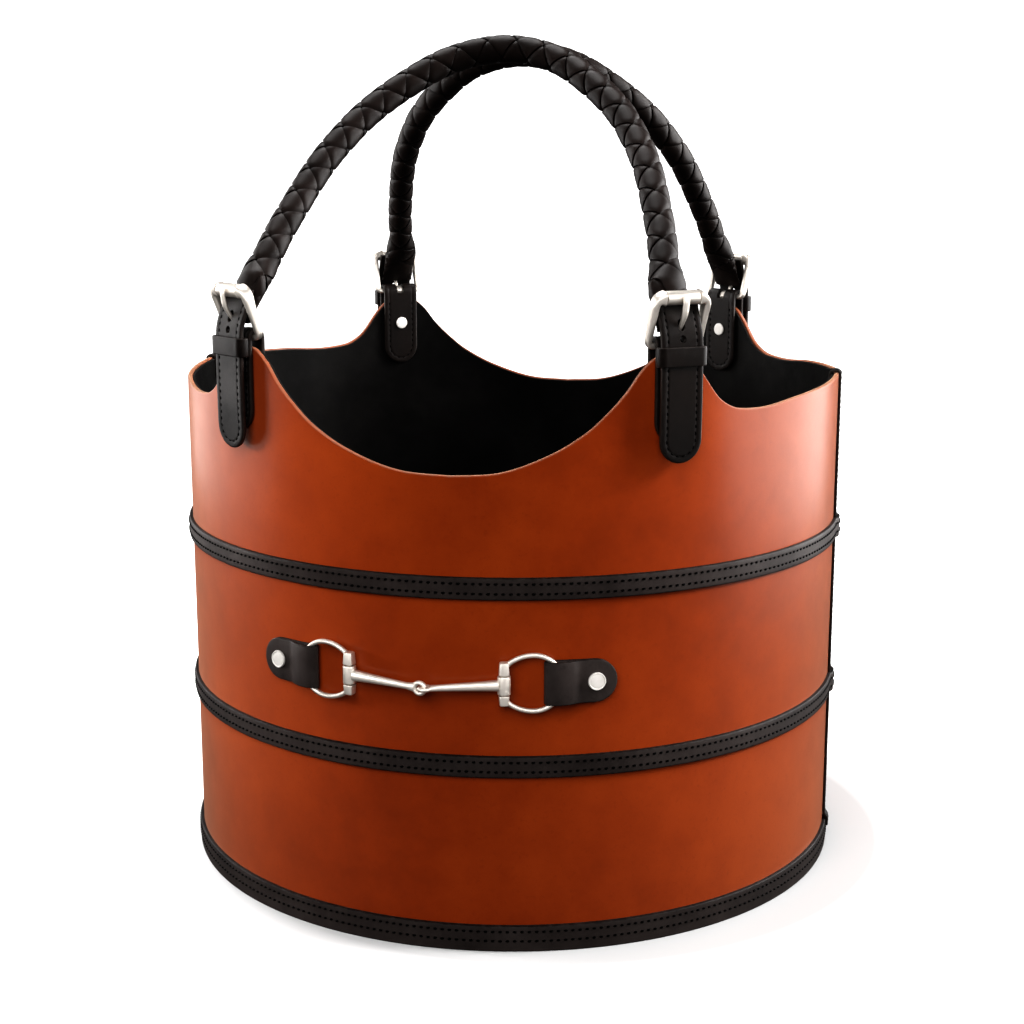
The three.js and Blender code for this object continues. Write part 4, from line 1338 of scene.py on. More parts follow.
@dataclass
class Band:
    """Band sewn round the body with two rows of stitches."""

    node: str
    bottom: float
    width: float = 13.0
    rows: tuple[float, ...] = (0.29, 0.73)
    creases: tuple[float, ...] = ()
    crease_depth: float = 0.12
    climbs: bool = True
    thickness: float = 2.22
    inner: float = 216.08
    seam_turn: float = 90.0
    strip_half: float = 4.8
    strip_rise: float = 1.7
    ramp: float = 5.0
    edge: float = 0.75
    edge_wear: tuple = (0.6, 1, 1, 0.8, 0.3)
    groove_depth: float = 0.1
    groove_half: float = 0.5
    groove_flat: float = 0.3
    sewing: Sewing = Sewing(pitch=4.3, length=2.5, thickness=0.68, rise=0.18)
    turn_step: float = 0.75
    seam_reach: float = 4.0
    seam_step: float = 0.25

    def out_at(self, turns: Array) -> Array:
        """How far the band stands out where it climbs over a seam strip.

        Args:
            turns: Turns on the body.

        Returns:
            Distance at each turn.
        """
        if not self.climbs:
            return np.zeros(len(turns))
        from_seam = np.radians(np.abs(np.abs(turns) - self.seam_turn)) * self.inner
        share = np.clip(1 - (from_seam - self.strip_half) / self.ramp, 0, 1)
        return self.strip_rise * share * share * (3 - 2 * share)

    def outline(self) -> tuple[Array, Array]:
        """Cross-section of the band.

        Returns:
            Points of [out, up], and how near the cut edge each is.
        """
        face: list[tuple[float, float]] = []
        flat = self.groove_half + self.groove_flat
        depths = {**dict.fromkeys(self.rows, self.groove_depth), **dict.fromkeys(self.creases, self.crease_depth)}
        for share, depth in sorted(depths.items()):
            cuts = ((-flat, 0), (-self.groove_half, 0), (0, depth), (self.groove_half, 0), (flat, 0))
            face += [(self.thickness - cut, share * self.width + up) for up, cut in cuts]
        low = [(self.thickness - self.edge * (1 - math.sin(a)), self.edge * (1 - math.cos(a)))
               for a in CORNER_TURNS]
        high = [(out, self.width - up) for out, up in reversed(low)]
        points = [(0.0, 0.0), *low, *face, *high, (0.0, self.width)]
        near = [*self.edge_wear, *[0.0] * len(face), *reversed(self.edge_wear)]
        return np.array(points), np.array(near)

    def build(self) -> None:
        """Makes the band and its stitches."""
        turns = np.unique(np.concatenate([
            np.arange(-180, 180, self.turn_step),
            *[np.arange(seam - self.seam_reach, seam + self.seam_reach, self.seam_step)
              for seam in (-self.seam_turn, self.seam_turn) if self.climbs],
        ]))
        out = self.out_at(turns)
        outline, near = self.outline()
        rings = np.array([
            at_turn(turn, self.inner + rise + outline[:, 0], self.bottom + outline[:, 1])
            for turn, rise in zip(turns, out)
        ])
        Shape().add_rings(rings, closed=True, wear=near).piece(self.node, BAND_DARK, "basket")
        threads = Shape()
        loop = np.append(turns, turns[0] + 360)
        rise = np.append(out, out[0])
        for share in self.rows:
            radius = self.inner + rise + self.thickness - self.groove_depth
            line = at_turn(loop, radius, self.bottom + share * self.width)
            self.sewing.sew(threads, line, at_turn(loop, 1.0, 0.0))
        threads.piece(self.node, BLACK_THREAD, "basket")


@dataclass
class StrapStation:
    """One strap station: folded anchor strap, roller buckle, keeper, billet strap and rivet."""

    corner: Corner
    width: float = 26.5
    thickness: float = 2.8
    seat: float = 0.3
    run_gap: float = 0.4
    wall: float = 4.8
    anchor_bottom: float = 300.0
    anchor_bends: tuple = (350.5, 358.5)
    fold_below: float = 1.0
    inner_stitched: float = 48.0
    heel_up: float = 355.5
    fold_slack: float = 0.5
    lean: float = 17.8
    spacing: float = 28.4
    buckle_width: float = 37.0
    wire: float = 2.2
    shoulder: float = 3.9
    shoulder_full: float = 1.35
    shoulder_reach: float = 4.0
    shoulder_from: float = 0.8
    side_growth: float = 1.6
    top_corner: float = 5.2
    side_wide: float = 2.15
    heel_wide: float = 1.8
    heel_thick: float = 1.85
    heel_corner: float = 3.6
    frame_squareness: float = 4.2
    frame_step: float = 0.7
    top_within: float = 0.05
    past_roller: float = 0.15
    roller: float = 4.0
    roller_length: float = 20.5
    roller_edges: tuple = (0.2, 0.5, 0.5, 0.2)
    prong_eye: float = 3.9
    prong_eye_width: float = 5.0
    prong_slot: float = 6.2
    prong_slot_corner: float = 2.0
    prong_curl: float = 350.0
    prong_root: tuple = ((0.9, 0, 0), (1.6, 0.4, 6))
    prong_middle: float = 1.5
    prong_knots: tuple = ((0.6, -8.5), (0.35, -3.0), (0, 0), (-1.0, 3.4))
    prong_rows: tuple = ((0, 1.3, 1.2), (0.3, 1.15, 1.1), (0.7, 2.0, 1.3), (0.9, 2.1, 0.9), (1, 1.5, 0.35))
    keeper_bottom: float = 344.4
    keeper_width: float = 11.0
    keeper_thickness: float = 1.7
    keeper_crown: float = 0.18
    keeper_worn: float = 1 / 6
    keeper_corners: tuple = (1.6, 1.6, 2.4, 2.4)
    keeper_edges: tuple = (0.5, 0.5, 0.7, 0.7)
    keeper_near: float = -4.5
    keeper_far: float = -10.3
    hole_up: float = 367.0
    hole_length: float = 6.6
    hole_width: float = 3.8
    adjust_up: float = 359.5
    adjust_width: float = 3.6
    stitch_inset: float = 4.0
    strap_edge: float = 0.9
    rivet_up: float = 331.0
    rivet_head: float = 4.5
    rivet_thickness: float = 1.1
    rivet_shank: float = 2.0
    rivet_edges: tuple[float, float] = (0.8, 0.15)
    billet_bends: tuple = (352.0, 366.0)
    billet_unstitched: float = 8.0
    billet_rows: tuple = (
        (383, -0.6), (375.5, 1.5), (367, 5.1), (360, 7.1), (345, 7.8), (318, 7.9), (303, 7.6), (289.5, 6.9),
    )

    def __post_init__(self) -> None:
        """Derives the places that the pieces share."""
        self.station = Station(self.corner.value)
        self.fold_inner = (self.wall + 2 * self.seat) / 2 + self.seat
        self.heel = np.array([self.fold_inner - self.seat, self.heel_up])
        lean = math.radians(self.lean)
        self.lean_way = np.array([-math.sin(lean), math.cos(lean)])
        self.out_way = np.array([-self.lean_way[1], self.lean_way[0]])
        self.top = self.heel + self.lean_way * self.spacing

    def place(self, across: float | Array, inward: float | Array, up: float | Array) -> Array:
        """Places at the station."""
        return self.station.place(np.stack(np.broadcast_arrays(across, inward, up), axis=-1))

    def name(self, part: str) -> str:
        """Name of a piece of this station."""
        return f"{self.corner.label}_{part}"

    def bend(self, made: bpy.types.Object, start: float, end: float) -> None:
        """Bakes a strap's place into its mesh."""
        low, high = (self.place(0.0, 0.0, up) * MM for up in (start, end))
        self.corner.handle
        tuple(low)
        tuple(high)
        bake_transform(made)

    def build_anchor(self) -> None:
        """Makes the anchor strap, up the wall, over the heel bar and down inside."""
        radius = self.fold_inner + self.thickness / 2
        centre = (self.heel[0], self.heel_up - self.fold_slack)
        straight = np.linspace(self.anchor_bottom, centre[1] - self.fold_below, 20)
        line = np.vstack([
            [(centre[0] - radius, up) for up in straight],
            arc(centre, radius, 180, 0, 24),
            [(centre[0] + radius, up) for up in reversed(straight)],
        ])
        run = Run(line, front=-1)
        start = self.heel_up - self.prong_eye - self.seat
        low = run.distance_at(start)
        slot = rounded([
            (-self.prong_slot / 2, low), (self.prong_slot / 2, low),
            (self.prong_slot / 2, run.length - low), (-self.prong_slot / 2, run.length - low),
        ], self.prong_slot_corner)
        leather = CutLeather(
            run.length, self.width, self.thickness, edge=self.strap_edge, round_start=True, round_end=True,
            groove=self.stitch_inset, holes=[slot],
        )
        strap, threads = Shape(), Shape()
        leather.lay(strap, run, self.place)
        node = self.name("anchor_strap")
        self.bend(strap.piece(node, STRAP_DARK, None), *self.anchor_bends)
        leather.stitched(threads, run, self.place, 0.0, self.keeper_bottom - self.anchor_bottom, Sewing())
        leather.stitched(threads, run, self.place, run.length - self.inner_stitched, run.length, Sewing())
        threads.piece(node, BLACK_THREAD, "basket")

    def build_billet(self) -> None:
        """Makes the billet strap, through the buckle and the keeper to its hanging tip."""
        run = Run(smooth_line(np.array([(-out, up) for up, out in self.billet_rows]), 20))
        hole = slot_hole(self.hole_length, self.hole_width, run.distance_at(self.hole_up))
        adjust = slot_hole(self.adjust_width, self.adjust_width, run.distance_at(self.adjust_up))
        leather = CutLeather(
            run.length, self.width, self.thickness, edge=self.strap_edge, round_end=True, groove=self.stitch_inset,
            holes=[hole, adjust], step=1.5,
        )
        strap, threads = Shape(), Shape()
        leather.lay(strap, run, self.place)
        node = self.name("billet_strap")
        self.bend(strap.piece(node, STRAP_DARK, None), *self.billet_bends)
        leather.stitched(threads, run, self.place, self.billet_unstitched, run.length, Sewing())
        self.bend(threads.piece(node, BLACK_THREAD, None), *self.billet_bends)

    def build_keeper(self) -> None:
        """Makes the keeper loop round the billet strap."""
        half = self.width / 2 + self.seat + self.keeper_thickness / 2
        path = rounded([
            (half, self.keeper_near), (-half, self.keeper_near), (-half, self.keeper_far), (half, self.keeper_far),
        ], self.keeper_corners, steps=7)
        path = even_loop(path, 1.2)
        line = self.place(path[:, 0], path[:, 1], self.keeper_bottom + self.keeper_width / 2)
        middle = self.place(0.0, (self.keeper_near + self.keeper_far) / 2, line[0, 2])
        t, w = self.keeper_thickness / 2, self.keeper_width / 2
        profile = rounded([(-w, -t), (w, -t), (w, t), (-w, t)], self.keeper_edges)
        profile[:, 1] += self.keeper_crown * (1 - (profile[:, 0] / w) ** 2)
        outward = np.cross(UP, ways_along(line, closed=True))
        outward *= np.sign(np.sum(outward * (line - middle), axis=1, keepdims=True))
        rings = line[:, None] + profile[None, :, :1] * UP + profile[None, :, 1:] * outward[:, None]
        near = near_edge(profile[:, 0] / w, self.keeper_worn)
        Shape().add_rings(rings, closed=True, wear=near).piece(self.name("keeper"), STRAP_DARK, "basket")

    def leaning(self, flat: Array) -> Array:
        """Places of [across, up] points in the buckle's leaning plane, measured from the heel bar."""
        middle = self.heel + flat[:, 1:] * self.lean_way
        return self.place(flat[:, 0], middle[:, 0], middle[:, 1])

    def build_frame(self) -> None:
        """Makes the cast frame, thick at its shoulders and thinner towards the heel bar."""
        half = self.buckle_width / 2 - self.wire
        loop = rounded(
            [(half, 0), (half, self.spacing), (-half, self.spacing), (-half, 0)],
            [self.heel_corner, self.top_corner, self.top_corner, self.heel_corner], steps=10,
        )
        loop = even_loop(loop, self.frame_step)
        line = self.leaning(loop)
        top = loop[:, 1] > self.spacing - self.top_within
        from_roller = np.abs(loop[:, 0]) - self.roller_length / 2
        share = np.clip(loop[:, 1] / self.spacing, 0, 1)
        wide = self.heel_wide + (self.side_wide - self.heel_wide) * share
        swell = np.clip(self.shoulder_full - from_roller / self.shoulder_reach, 0, 1) * (share > self.shoulder_from)
        wide = wide + (self.shoulder - wide) * swell
        thick = self.heel_thick + (self.shoulder - self.heel_thick) * share ** self.side_growth
        inside = top & (from_roller < self.past_roller)
        wide, thick = np.where(inside, self.wire, wide), np.where(inside, self.wire, thick)
        face = self.station.way([0, *self.out_way])
        profile = round_profile(24, self.frame_squareness)
        rings = swept(line, face, np.stack([wide, thick], axis=-1), profile, closed=True)
        Shape().add_rings(rings, closed=True).piece(self.name("buckle_frame"), SATIN_NICKEL, self.corner.handle)

    def build_roller(self) -> None:
        """Makes the roller tube on the top bar."""
        bore, half = self.wire + self.run_gap, self.roller_length / 2
        corners = [(bore, -half), (self.roller, -half), (self.roller, half), (bore, half)]
        outline = rounded(corners, self.roller_edges)
        across, out = self.station.way([1, 0, 0]), self.station.way([0, *self.out_way])
        rings = turned(outline, self.place(0.0, *self.top), across, out, 40)
        Shape().add_rings(rings, closed=True).piece(self.name("roller"), SATIN_NICKEL, self.name("roller"))

    def build_prong(self) -> None:
        """Makes the prong, curled round the heel bar and hooked over the roller."""
        across = self.station.way([1, 0, 0])
        bore = self.wire + self.run_gap
        eye_line = arc(self.heel, (bore + self.prong_eye) / 2, 0, self.prong_curl, 28)
        eye = self.place(0.0, eye_line[:, 0], eye_line[:, 1])
        wall = (self.prong_eye - bore) / 2
        shape = Shape().add_rings(swept(eye, across, (wall, self.prong_eye_width / 2), round_profile(14, 3.0)))
        rest = self.roller + self.seat + self.prong_middle
        root = unit(self.out_way + self.lean_way)
        knots = np.array([
            *(self.heel + root * (bore + off) + self.out_way * out + self.lean_way * along
              for off, out, along in self.prong_root),
            *(self.top + self.out_way * (rest + out) + self.lean_way * along for out, along in self.prong_knots),
        ])
        flat = even_line(smooth_line(knots, 12), 0.7)
        line = self.place(0.0, flat[:, 0], flat[:, 1])
        shares, *halves = zip(*self.prong_rows)
        sizes = [np.interp(np.linspace(0, 1, len(line)), shares, half) for half in halves]
        outward = self.station.way([0, *self.out_way])
        shape.add_rings(swept(line, outward, np.stack(sizes, axis=-1), round_profile(16, 2.3)))
        shape.piece(self.name("prong"), SATIN_NICKEL, self.corner.handle)

    def build_rivet(self) -> None:
        """Makes the rivet through both plies and the wall."""
        outer = self.heel[0] - self.fold_inner - self.thickness - self.seat
        inner = self.heel[0] + self.fold_inner + self.thickness + self.seat
        head, shank, t = self.rivet_head, self.rivet_shank, self.rivet_thickness
        crown, rim = self.rivet_edges
        outline = rounded([
            (0, outer - t), (head, outer - t), (head, outer), (shank, outer), (shank, inner), (head, inner),
            (head, inner + t), (0, inner + t),
        ], [0, crown, rim, 0, 0, rim, crown, 0])
        inward, across = self.station.way([0, 1, 0]), self.station.way([1, 0, 0])
        rings = turned(outline, self.place(0.0, 0.0, self.rivet_up), inward, across, 28)
        Shape().add_rings(rings, closed=True).piece(self.name("strap_rivet"), BRUSHED_CAP, "basket")

    def build(self) -> None:
        """Makes the whole station."""
        self.build_anchor()
        self.build_billet()
        self.build_keeper()
        self.build_frame()
        self.build_roller()
        self.build_prong()
        self.build_rivet()


@dataclass
class BraidedHandle:
    """Leaning arch of four flat strands braided round, flattened to a wedge behind each billet strap."""

    end: str
    turn: float = 36.5
    radius: float = 8.0
    lean: float = 45.0
    rise: float = 198.7
    start_up: float = 385.0
    start_out: float = -9.3
    end_half_width: float = 11.5
    end_half_thickness: float = 7.6
    pitch: float = 38.0
    strand_half: float = 0.475
    strand_thickness: float = 1.7
    strand_edge: float = 1.25
    strand_worn: float = 1 / 16
    lift: float = 0.9
    steepness: float = 3.2
    strand_shares: tuple = (-1, -0.985, -0.93, -0.55, 0, 0.55, 0.93, 0.985, 1)
    strand_corner_from: float = 0.95
    strand_corner: float = 0.7
    core: float = 5.6
    core_step: float = 3.0
    core_sides: int = 16
    least_room: float = 0.1
    step: float = 0.9
    flare_share: float = 0.1
    wedge_rows: tuple = ((363.4, 0.4, 12.0, 0.9), (376.5, -5.6, 11.5, 4.4))
    shares: tuple = (
        (1, 0), (0.966, 0.103), (0.938, 0.206), (0.9, 0.307), (0.86, 0.407), (0.81, 0.508),
        (0.741, 0.608), (0.655, 0.708), (0.5, 0.83), (0.27, 0.953), (0, 1),
    )

    def centre_line(self) -> tuple[Array, Array, Array, Array]:
        """Centre line with its cross directions.

        Returns:
            Points, half widths, half thicknesses and thickness directions.
        """
        station = Station(self.turn)
        start = station.place([0, -self.start_out, self.start_up])
        lean = math.radians(self.lean)
        up = np.array([0, math.sin(lean), math.cos(lean)])
        plane_face = np.array([0, -math.cos(lean), math.sin(lean)])
        flip = np.array([-1.0, 1, 1])
        right = np.array([start * [a, 1, 1] + up * self.rise * b for a, b in self.shares])
        arch = even_line(smooth_line(np.vstack([right, (right[:-1] * flip)[::-1]])), self.step)
        lengths = run_lengths(arch)
        from_end = np.minimum(lengths, lengths[-1] - lengths)
        flare = np.clip(1 - from_end / (self.rise * self.flare_share), 0, 1)
        flare = flare * flare * (3 - 2 * flare)
        wide = self.radius + (self.end_half_width - self.radius) * flare
        thick = self.radius + (self.end_half_thickness - self.radius) * flare
        station_face = at_turn(self.turn, 1.0, 0.0)
        mirror = np.where(arch[:, :1] < 0, flip, 1.0)
        face = unit(plane_face + (station_face * mirror - plane_face) * flare[:, None])
        tip, mid = [station.place([0, -out, height]) for height, out, *_ in self.wedge_rows]
        wedge = smooth_line(np.array([tip, mid, arch[0]]), 9)[:-1]
        share = np.linspace(0, 1, len(wedge), endpoint=False)
        wedge_wide, wedge_thick = (
            np.interp(share, [0, 0.5, 1], [self.wedge_rows[0][k], self.wedge_rows[1][k], half[0]])
            for k, half in ((2, wide), (3, thick))
        )
        wedge_face = np.tile(station_face, (len(wedge), 1))
        return (
            np.vstack([wedge, arch, (wedge * flip)[::-1]]),
            np.concatenate([wedge_wide, wide, wedge_wide[::-1]]),
            np.concatenate([wedge_thick, thick, wedge_thick[::-1]]),
            np.vstack([wedge_face, face, (wedge_face * flip)[::-1]]),
        )

    def build(self) -> None:
        """Makes the four strands and the core under them."""
        line, wide, thick, faces = self.centre_line()
        if self.end == "back":
            flip = np.array([-1.0, -1.0, 1.0])
            line, faces = line * flip, faces * flip
        lengths = run_lengths(line)
        along = ways_along(line)
        across = unit(np.cross(faces, along))
        up = np.cross(along, across)

        def onto(distance: Array, angle: Array, off: Array) -> Array:
            """Places on the handle.

            Args:
                distance: Distances along it.
                angle: Angles round it.
                off: Heights off its mean surface.

            Returns:
                The basket's places.
            """
            at = [np.interp(distance, lengths, column) for column in (wide, thick)]
            frame_at = [
                np.stack([np.interp(distance, lengths, rows[:, k]) for k in range(3)], axis=-1)
                for rows in (line, across, up)
            ]
            room = np.clip(at[1] / self.radius, self.least_room, 1)
            x = (at[0] + off * room) * np.cos(angle)
            y = (at[1] + off * room) * np.sin(angle)
            return frame_at[0] + frame_at[1] * x[..., None] + frame_at[2] * y[..., None]

        total = lengths[-1]
        quarter = self.pitch / 4
        profile = self.strand_profile()
        shape = Shape()
        for twist in (1, -1):
            for number in (0, 1):
                base = number * quarter
                a = np.arange(-base, total - base, self.step)
                lift = self.lift * np.tanh(self.steepness * np.cos(4 * np.pi * a / self.pitch + np.pi * number))
                s = profile[None, :, 0] * self.strand_half * quarter
                distance = np.clip(a[:, None] + base + s, 0, total)
                angle = twist * (2 * np.pi / self.pitch) * (a[:, None] - base - s)
                off = twist * lift[:, None] + profile[None, :, 1] - self.strand_thickness / 2
                shape.add_rings(onto(distance, angle, off), wear=profile[None, :, 2][0])
        distance = np.arange(0, total, self.core_step)
        angle = np.linspace(0, FULL_TURN, self.core_sides, endpoint=False)
        shape.add_rings(onto(*np.broadcast_arrays(distance[:, None], angle[None, :], self.core - self.radius)))
        shape.piece(f"{self.end}_handle_braid", BRAID_DARK, f"{self.end}_handle", crease=32)

    def strand_profile(self) -> Array:
        """Cross-section of a strand.

        Returns:
            Share of its half width, height from its middle and edge nearness of each point, which darkens the strand
            edges as painted shade.
        """
        t, e = self.strand_thickness / 2, self.strand_edge / 2
        shares = np.array(self.strand_shares)
        dome = e + (t - e) * (1 - np.abs(shares) ** 2)
        dome = dome * np.where(np.abs(shares) > self.strand_corner_from, self.strand_corner, 1)
        # Nearness to the strand edges, where the near-black edge colour paints shade in the cracks between strands.
        near = near_edge(shares, self.strand_worn)
        upper = np.stack([shares, np.where(np.abs(shares) == 1, 0, dome), near], axis=-1)
        lower = np.stack([shares[1:-1], -dome[1:-1], np.zeros(len(shares) - 2)], axis=-1)[::-1]
        return np.vstack([upper, lower])


@dataclass
class BitOrnament:
    """Snaffle-bit ornament: two rings in folded leather tabs, and two linked mouthpiece arms."""

    radius: float = 216.0
    centre_turn: float = -1.8
    up: float = 165.2
    hub_turn: float = 12.0
    hub_out: float = 3.95
    ring_out: float = 3.45
    ring_wire: float = 1.5
    ring_flare: float = 0.35
    flare_from: float = 0.86
    ring_radius: float = 16.5
    ring_from_hub: float = 17.0
    ring_meet: float = 9.5
    sleeve_radius: float = 3.8
    sleeve_height: float = 11.7
    sleeve_drop: float = 0.75
    sleeve_bulge: float = 0.09
    sleeve_bore: float = 2.1
    sleeve_edges: tuple = (0.1, 0.8, 0.8, 0.1)
    block_radius: float = 3.2
    block_taper: float = 0.84
    block_gap: float = 0.15
    block_edges: tuple = (0, 0.6, 0.8, 0)
    block_squareness: float = 4.5
    bar_radius: float = 1.7
    bar_hold: float = 2.0
    block_heights: tuple[float, float] = (7.7, 6.2)
    arm_root: float = 3.4
    arm_neck: float = 1.75
    arm_from: float = 0.72
    arm_even: float = 0.8
    arm_root_power: float = 6.0
    arm_spread: float = 1.2
    arm_spread_power: float = 1.5
    arm_sag: float = 2.8
    eye_out: float = 7.6
    eye_wire: float = 1.4
    eye_loop: float = 3.2
    seat: float = 0.3
    tab_width: float = 25.6
    tab_thickness: float = 1.5
    tab_fold: float = 22.6
    tab_end: float = 65.2
    tab_close: float = 44.0
    tab_cavity: float = 4.1
    tab_rivet: float = 52.8
    tab_hole: float = 4.2
    cap_radius: float = 5.25
    cap_thickness: float = 1.6
    cap_rim: float = 1.0
    shank: float = 1.8
    inner_head: float = 4.5
    inner_thickness: float = 1.1
    inner_crown: float = 0.2
    wall: float = 4.8

    def arc_turn(self, length: float | Array) -> float | Array:
        """Turn that a length makes on the body."""
        return np.degrees(length / self.radius)

    def hub(self, side: Side) -> float:
        """Turn of a ring's bar."""
        return self.centre_turn + side.value * self.hub_turn

    def ring_station(self, side: Side) -> Station:
        """Station at a ring's middle."""
        return Station(self.hub(side) + side.value * self.arc_turn(self.ring_from_hub))

    def hub_point(self, side: Side) -> Array:
        """Middle of a ring's bar."""
        return self.ring_station(side).place([-side.value * self.ring_from_hub, -self.hub_out, self.up])

    def ring_line(self) -> Array:
        """Line of a ring, from its upper block round to its lower one.

        Returns:
            Points of [from bar, up].
        """
        drop = self.ring_radius - self.ring_meet
        near = (self.ring_from_hub**2 + drop**2) / (2 * drop)
        turn = math.degrees(math.asin(self.ring_from_hub / near))
        up = arc((self.ring_from_hub, self.ring_radius - near), near, 90 + turn, 90, 20)
        far = arc((self.ring_from_hub, 0), self.ring_radius, 90, -90, 40)
        down = (up * [1, -1])[::-1]
        return np.vstack([up, far[1:-1], down])

    def build_ring(self, side: Side) -> None:
        """Makes a ring with its bar and end blocks.

        Args:
            side: Which ring.
        """
        station = self.ring_station(side)
        hub, across = self.hub_point(side), station.way([1, 0, 0])
        flat = even_line(self.ring_line(), 0.8)
        from_middle = side.value * (flat[:, 0] - self.ring_from_hub)
        line = station.place(np.stack([from_middle, np.full(len(flat), -self.ring_out), self.up + flat[:, 1]], axis=-1))
        share = np.linspace(-1, 1, len(flat))
        near_block = np.clip((np.abs(share) - self.flare_from) / (1 - self.flare_from), 0, 1)
        wire = self.ring_wire * (1 + self.ring_flare * near_block ** 2)
        rings = swept(line, station.way([0, 1, 0]), np.stack([wire, wire], axis=-1), round_profile(18))
        shape = Shape().add_rings(rings)
        top = self.sleeve_height / 2 - self.sleeve_drop
        bottom = -self.sleeve_height / 2 - self.sleeve_drop
        blocks = [(top + self.block_gap, top + self.block_heights[0]),
                  (bottom - self.block_gap, bottom - self.block_heights[1])]
        for near, away in blocks:
            outline = rounded([
                (0, near), (self.block_radius, near), (self.block_radius * self.block_taper, away), (0, away),
            ], self.block_edges)
            shape.add_rings(turned(outline, hub, UP, across, 28, power=self.block_squareness), closed=True)
        low, high = bottom - self.bar_hold, top + self.bar_hold
        bar = np.array([(0, low), (self.bar_radius, low), (self.bar_radius, high), (0, high)])
        shape.add_rings(turned(bar, hub, UP, across, 28), closed=True)
        shape.piece(f"bit_ring_{side.label}", SATIN_NICKEL, f"bit_{side.label}_ring")

    def build_arm(self, side: Side) -> None:
        """Makes a mouthpiece arm with its sleeve and eye.

        Args:
            side: Which arm.
        """
        hub = self.hub_point(side) - [0, 0, self.sleeve_drop]
        outward = at_turn(self.centre_turn, 1.0, 0.0)
        across = np.cross(UP, outward)
        middle = at_turn(self.centre_turn, self.radius + self.eye_out, self.up - self.sleeve_drop - self.arm_sag)
        eye = middle + across * side.value * self.eye_loop / 2
        way = unit(eye - hub)
        half = self.sleeve_height / 2 - self.seat
        bore, radius = self.sleeve_bore, self.sleeve_radius
        outline = rounded([(bore, -half), (radius, -half), (radius, half), (bore, half)], self.sleeve_edges)
        outline[:, 0] *= 1 + self.sleeve_bulge * (1 - (outline[:, 1] / half) ** 2)
        shape = Shape().add_rings(turned(outline, hub, UP, np.array([1.0, 0.0, 0.0]), 32), closed=True)
        length = float(np.linalg.norm(eye - hub)) - self.eye_loop
        far = np.linspace(self.sleeve_radius * self.arm_from, length, 40)
        share = (far - far[0]) / (far[-1] - far[0])
        taper = self.arm_even * (1 - share) + (1 - self.arm_even) * (1 - share) ** self.arm_root_power
        size = self.arm_neck + (self.arm_root - self.arm_neck) * taper
        face = outward if side is Side.LEFT else UP
        near_eye = np.clip((share - self.flare_from) / (1 - self.flare_from), 0, 1)
        spread = self.arm_spread * near_eye ** self.arm_spread_power
        line = hub + way * far[:, None]
        shape.add_rings(swept(line, face, np.stack([size + spread, size], axis=-1), round_profile(24, 2.3)))
        loop = eye + self.eye_loop * round_profile(36) @ np.array([way, unit(np.cross(face, way))])
        shape.add_rings(swept(loop, face, (self.eye_wire, self.eye_wire), round_profile(14), closed=True), closed=True)
        shape.piece(f"bit_arm_{side.label}", SATIN_NICKEL, f"bit_{side.label}_arm")

    def build_tab(self, side: Side) -> None:
        """Makes a leather tab folded round its ring.

        Args:
            side: Which tab.
        """
        back = self.seat + self.tab_thickness / 2
        fold = (self.tab_cavity + self.tab_thickness) / 2
        closed = back + self.tab_thickness + self.seat
        fold_from = self.tab_fold + self.tab_thickness / 2 + fold
        top = back + 2 * fold
        ridge = self.ring_from_hub + self.ring_radius
        rows = np.array([
            (self.tab_end, back), (self.tab_close, back), (fold_from + 2, back), (fold_from - 1.4, back + 0.45),
            (self.tab_fold + 0.9, back + 1.9), (self.tab_fold + 1.5, back + 3.5), (fold_from - 0.2, top - 0.75),
            (fold_from + 2.6, top), (ridge, top - 0.15), ((ridge + self.tab_close) / 2 - 0.4, (top + closed) / 2 + 0.4),
            (self.tab_close - 1, closed + 0.25), (self.tab_close + 3, closed), (self.tab_end, closed),
        ])
        run = Run(smooth_line(rows, 14), front=1)
        from_end = self.tab_end - self.tab_rivet
        holes = [slot_hole(self.tab_hole, self.tab_hole, along) for along in (from_end, run.length - from_end)]
        leather = CutLeather(
            run.length, self.tab_width, self.tab_thickness, edge=0.6, round_start=True, round_end=True, holes=holes,
            step=1.2,
        )

        def place(across: Array, start: Array, out: Array) -> Array:
            """Places on the body beside the bit."""
            turn = self.hub(side) + side.value * self.arc_turn(start)
            return at_turn(turn, self.radius + out, self.up + across)

        shape = Shape()
        leather.lay(shape, run, place)
        shape.piece(f"bit_tab_{side.label}", BAND_DARK, "basket")

    def build_cap(self, side: Side) -> None:
        """Makes the rivet of a tab, with its rimmed cap.

        Args:
            side: Which rivet.
        """
        station = Station(self.hub(side) + side.value * self.arc_turn(self.tab_rivet))
        under = -(2 * (self.seat + self.tab_thickness) + self.seat)
        crown = under - self.cap_thickness
        inner = self.wall + self.seat
        r, rim = self.cap_radius, self.cap_rim
        outline = np.vstack([
            [(0, crown + 0.25), (r * 0.35, crown + 0.27), (r * 0.6, crown + 0.33)],
            rounded([(r - rim, crown + 0.5), (r - rim * 0.75, crown), (r - 0.25, crown), (r, crown + 0.55),
                     (r, under), (self.shank, under)], [0.12, 0.2, 0.2, 0.25, 0.1, 0]),
            rounded([(self.shank, inner), (self.inner_head, inner), (self.inner_head, inner + self.inner_thickness),
                     (0, inner + self.inner_thickness + self.inner_crown)], [0, 0.15, 0.6, 0]),
        ])
        middle, inward, across = station.place([0, 0, self.up]), station.way([0, 1, 0]), station.way([1, 0, 0])
        rings = turned(outline, middle, inward, across, 48)
        Shape().add_rings(rings, closed=True).piece(f"bit_tab_rivet_{side.label}", BRUSHED_CAP, "basket")

    def build(self) -> None:
        """Makes both sides of the ornament."""
        for side in Side:
            self.build_ring(side)
            self.build_arm(side)
            self.build_tab(side)
            self.build_cap(side)


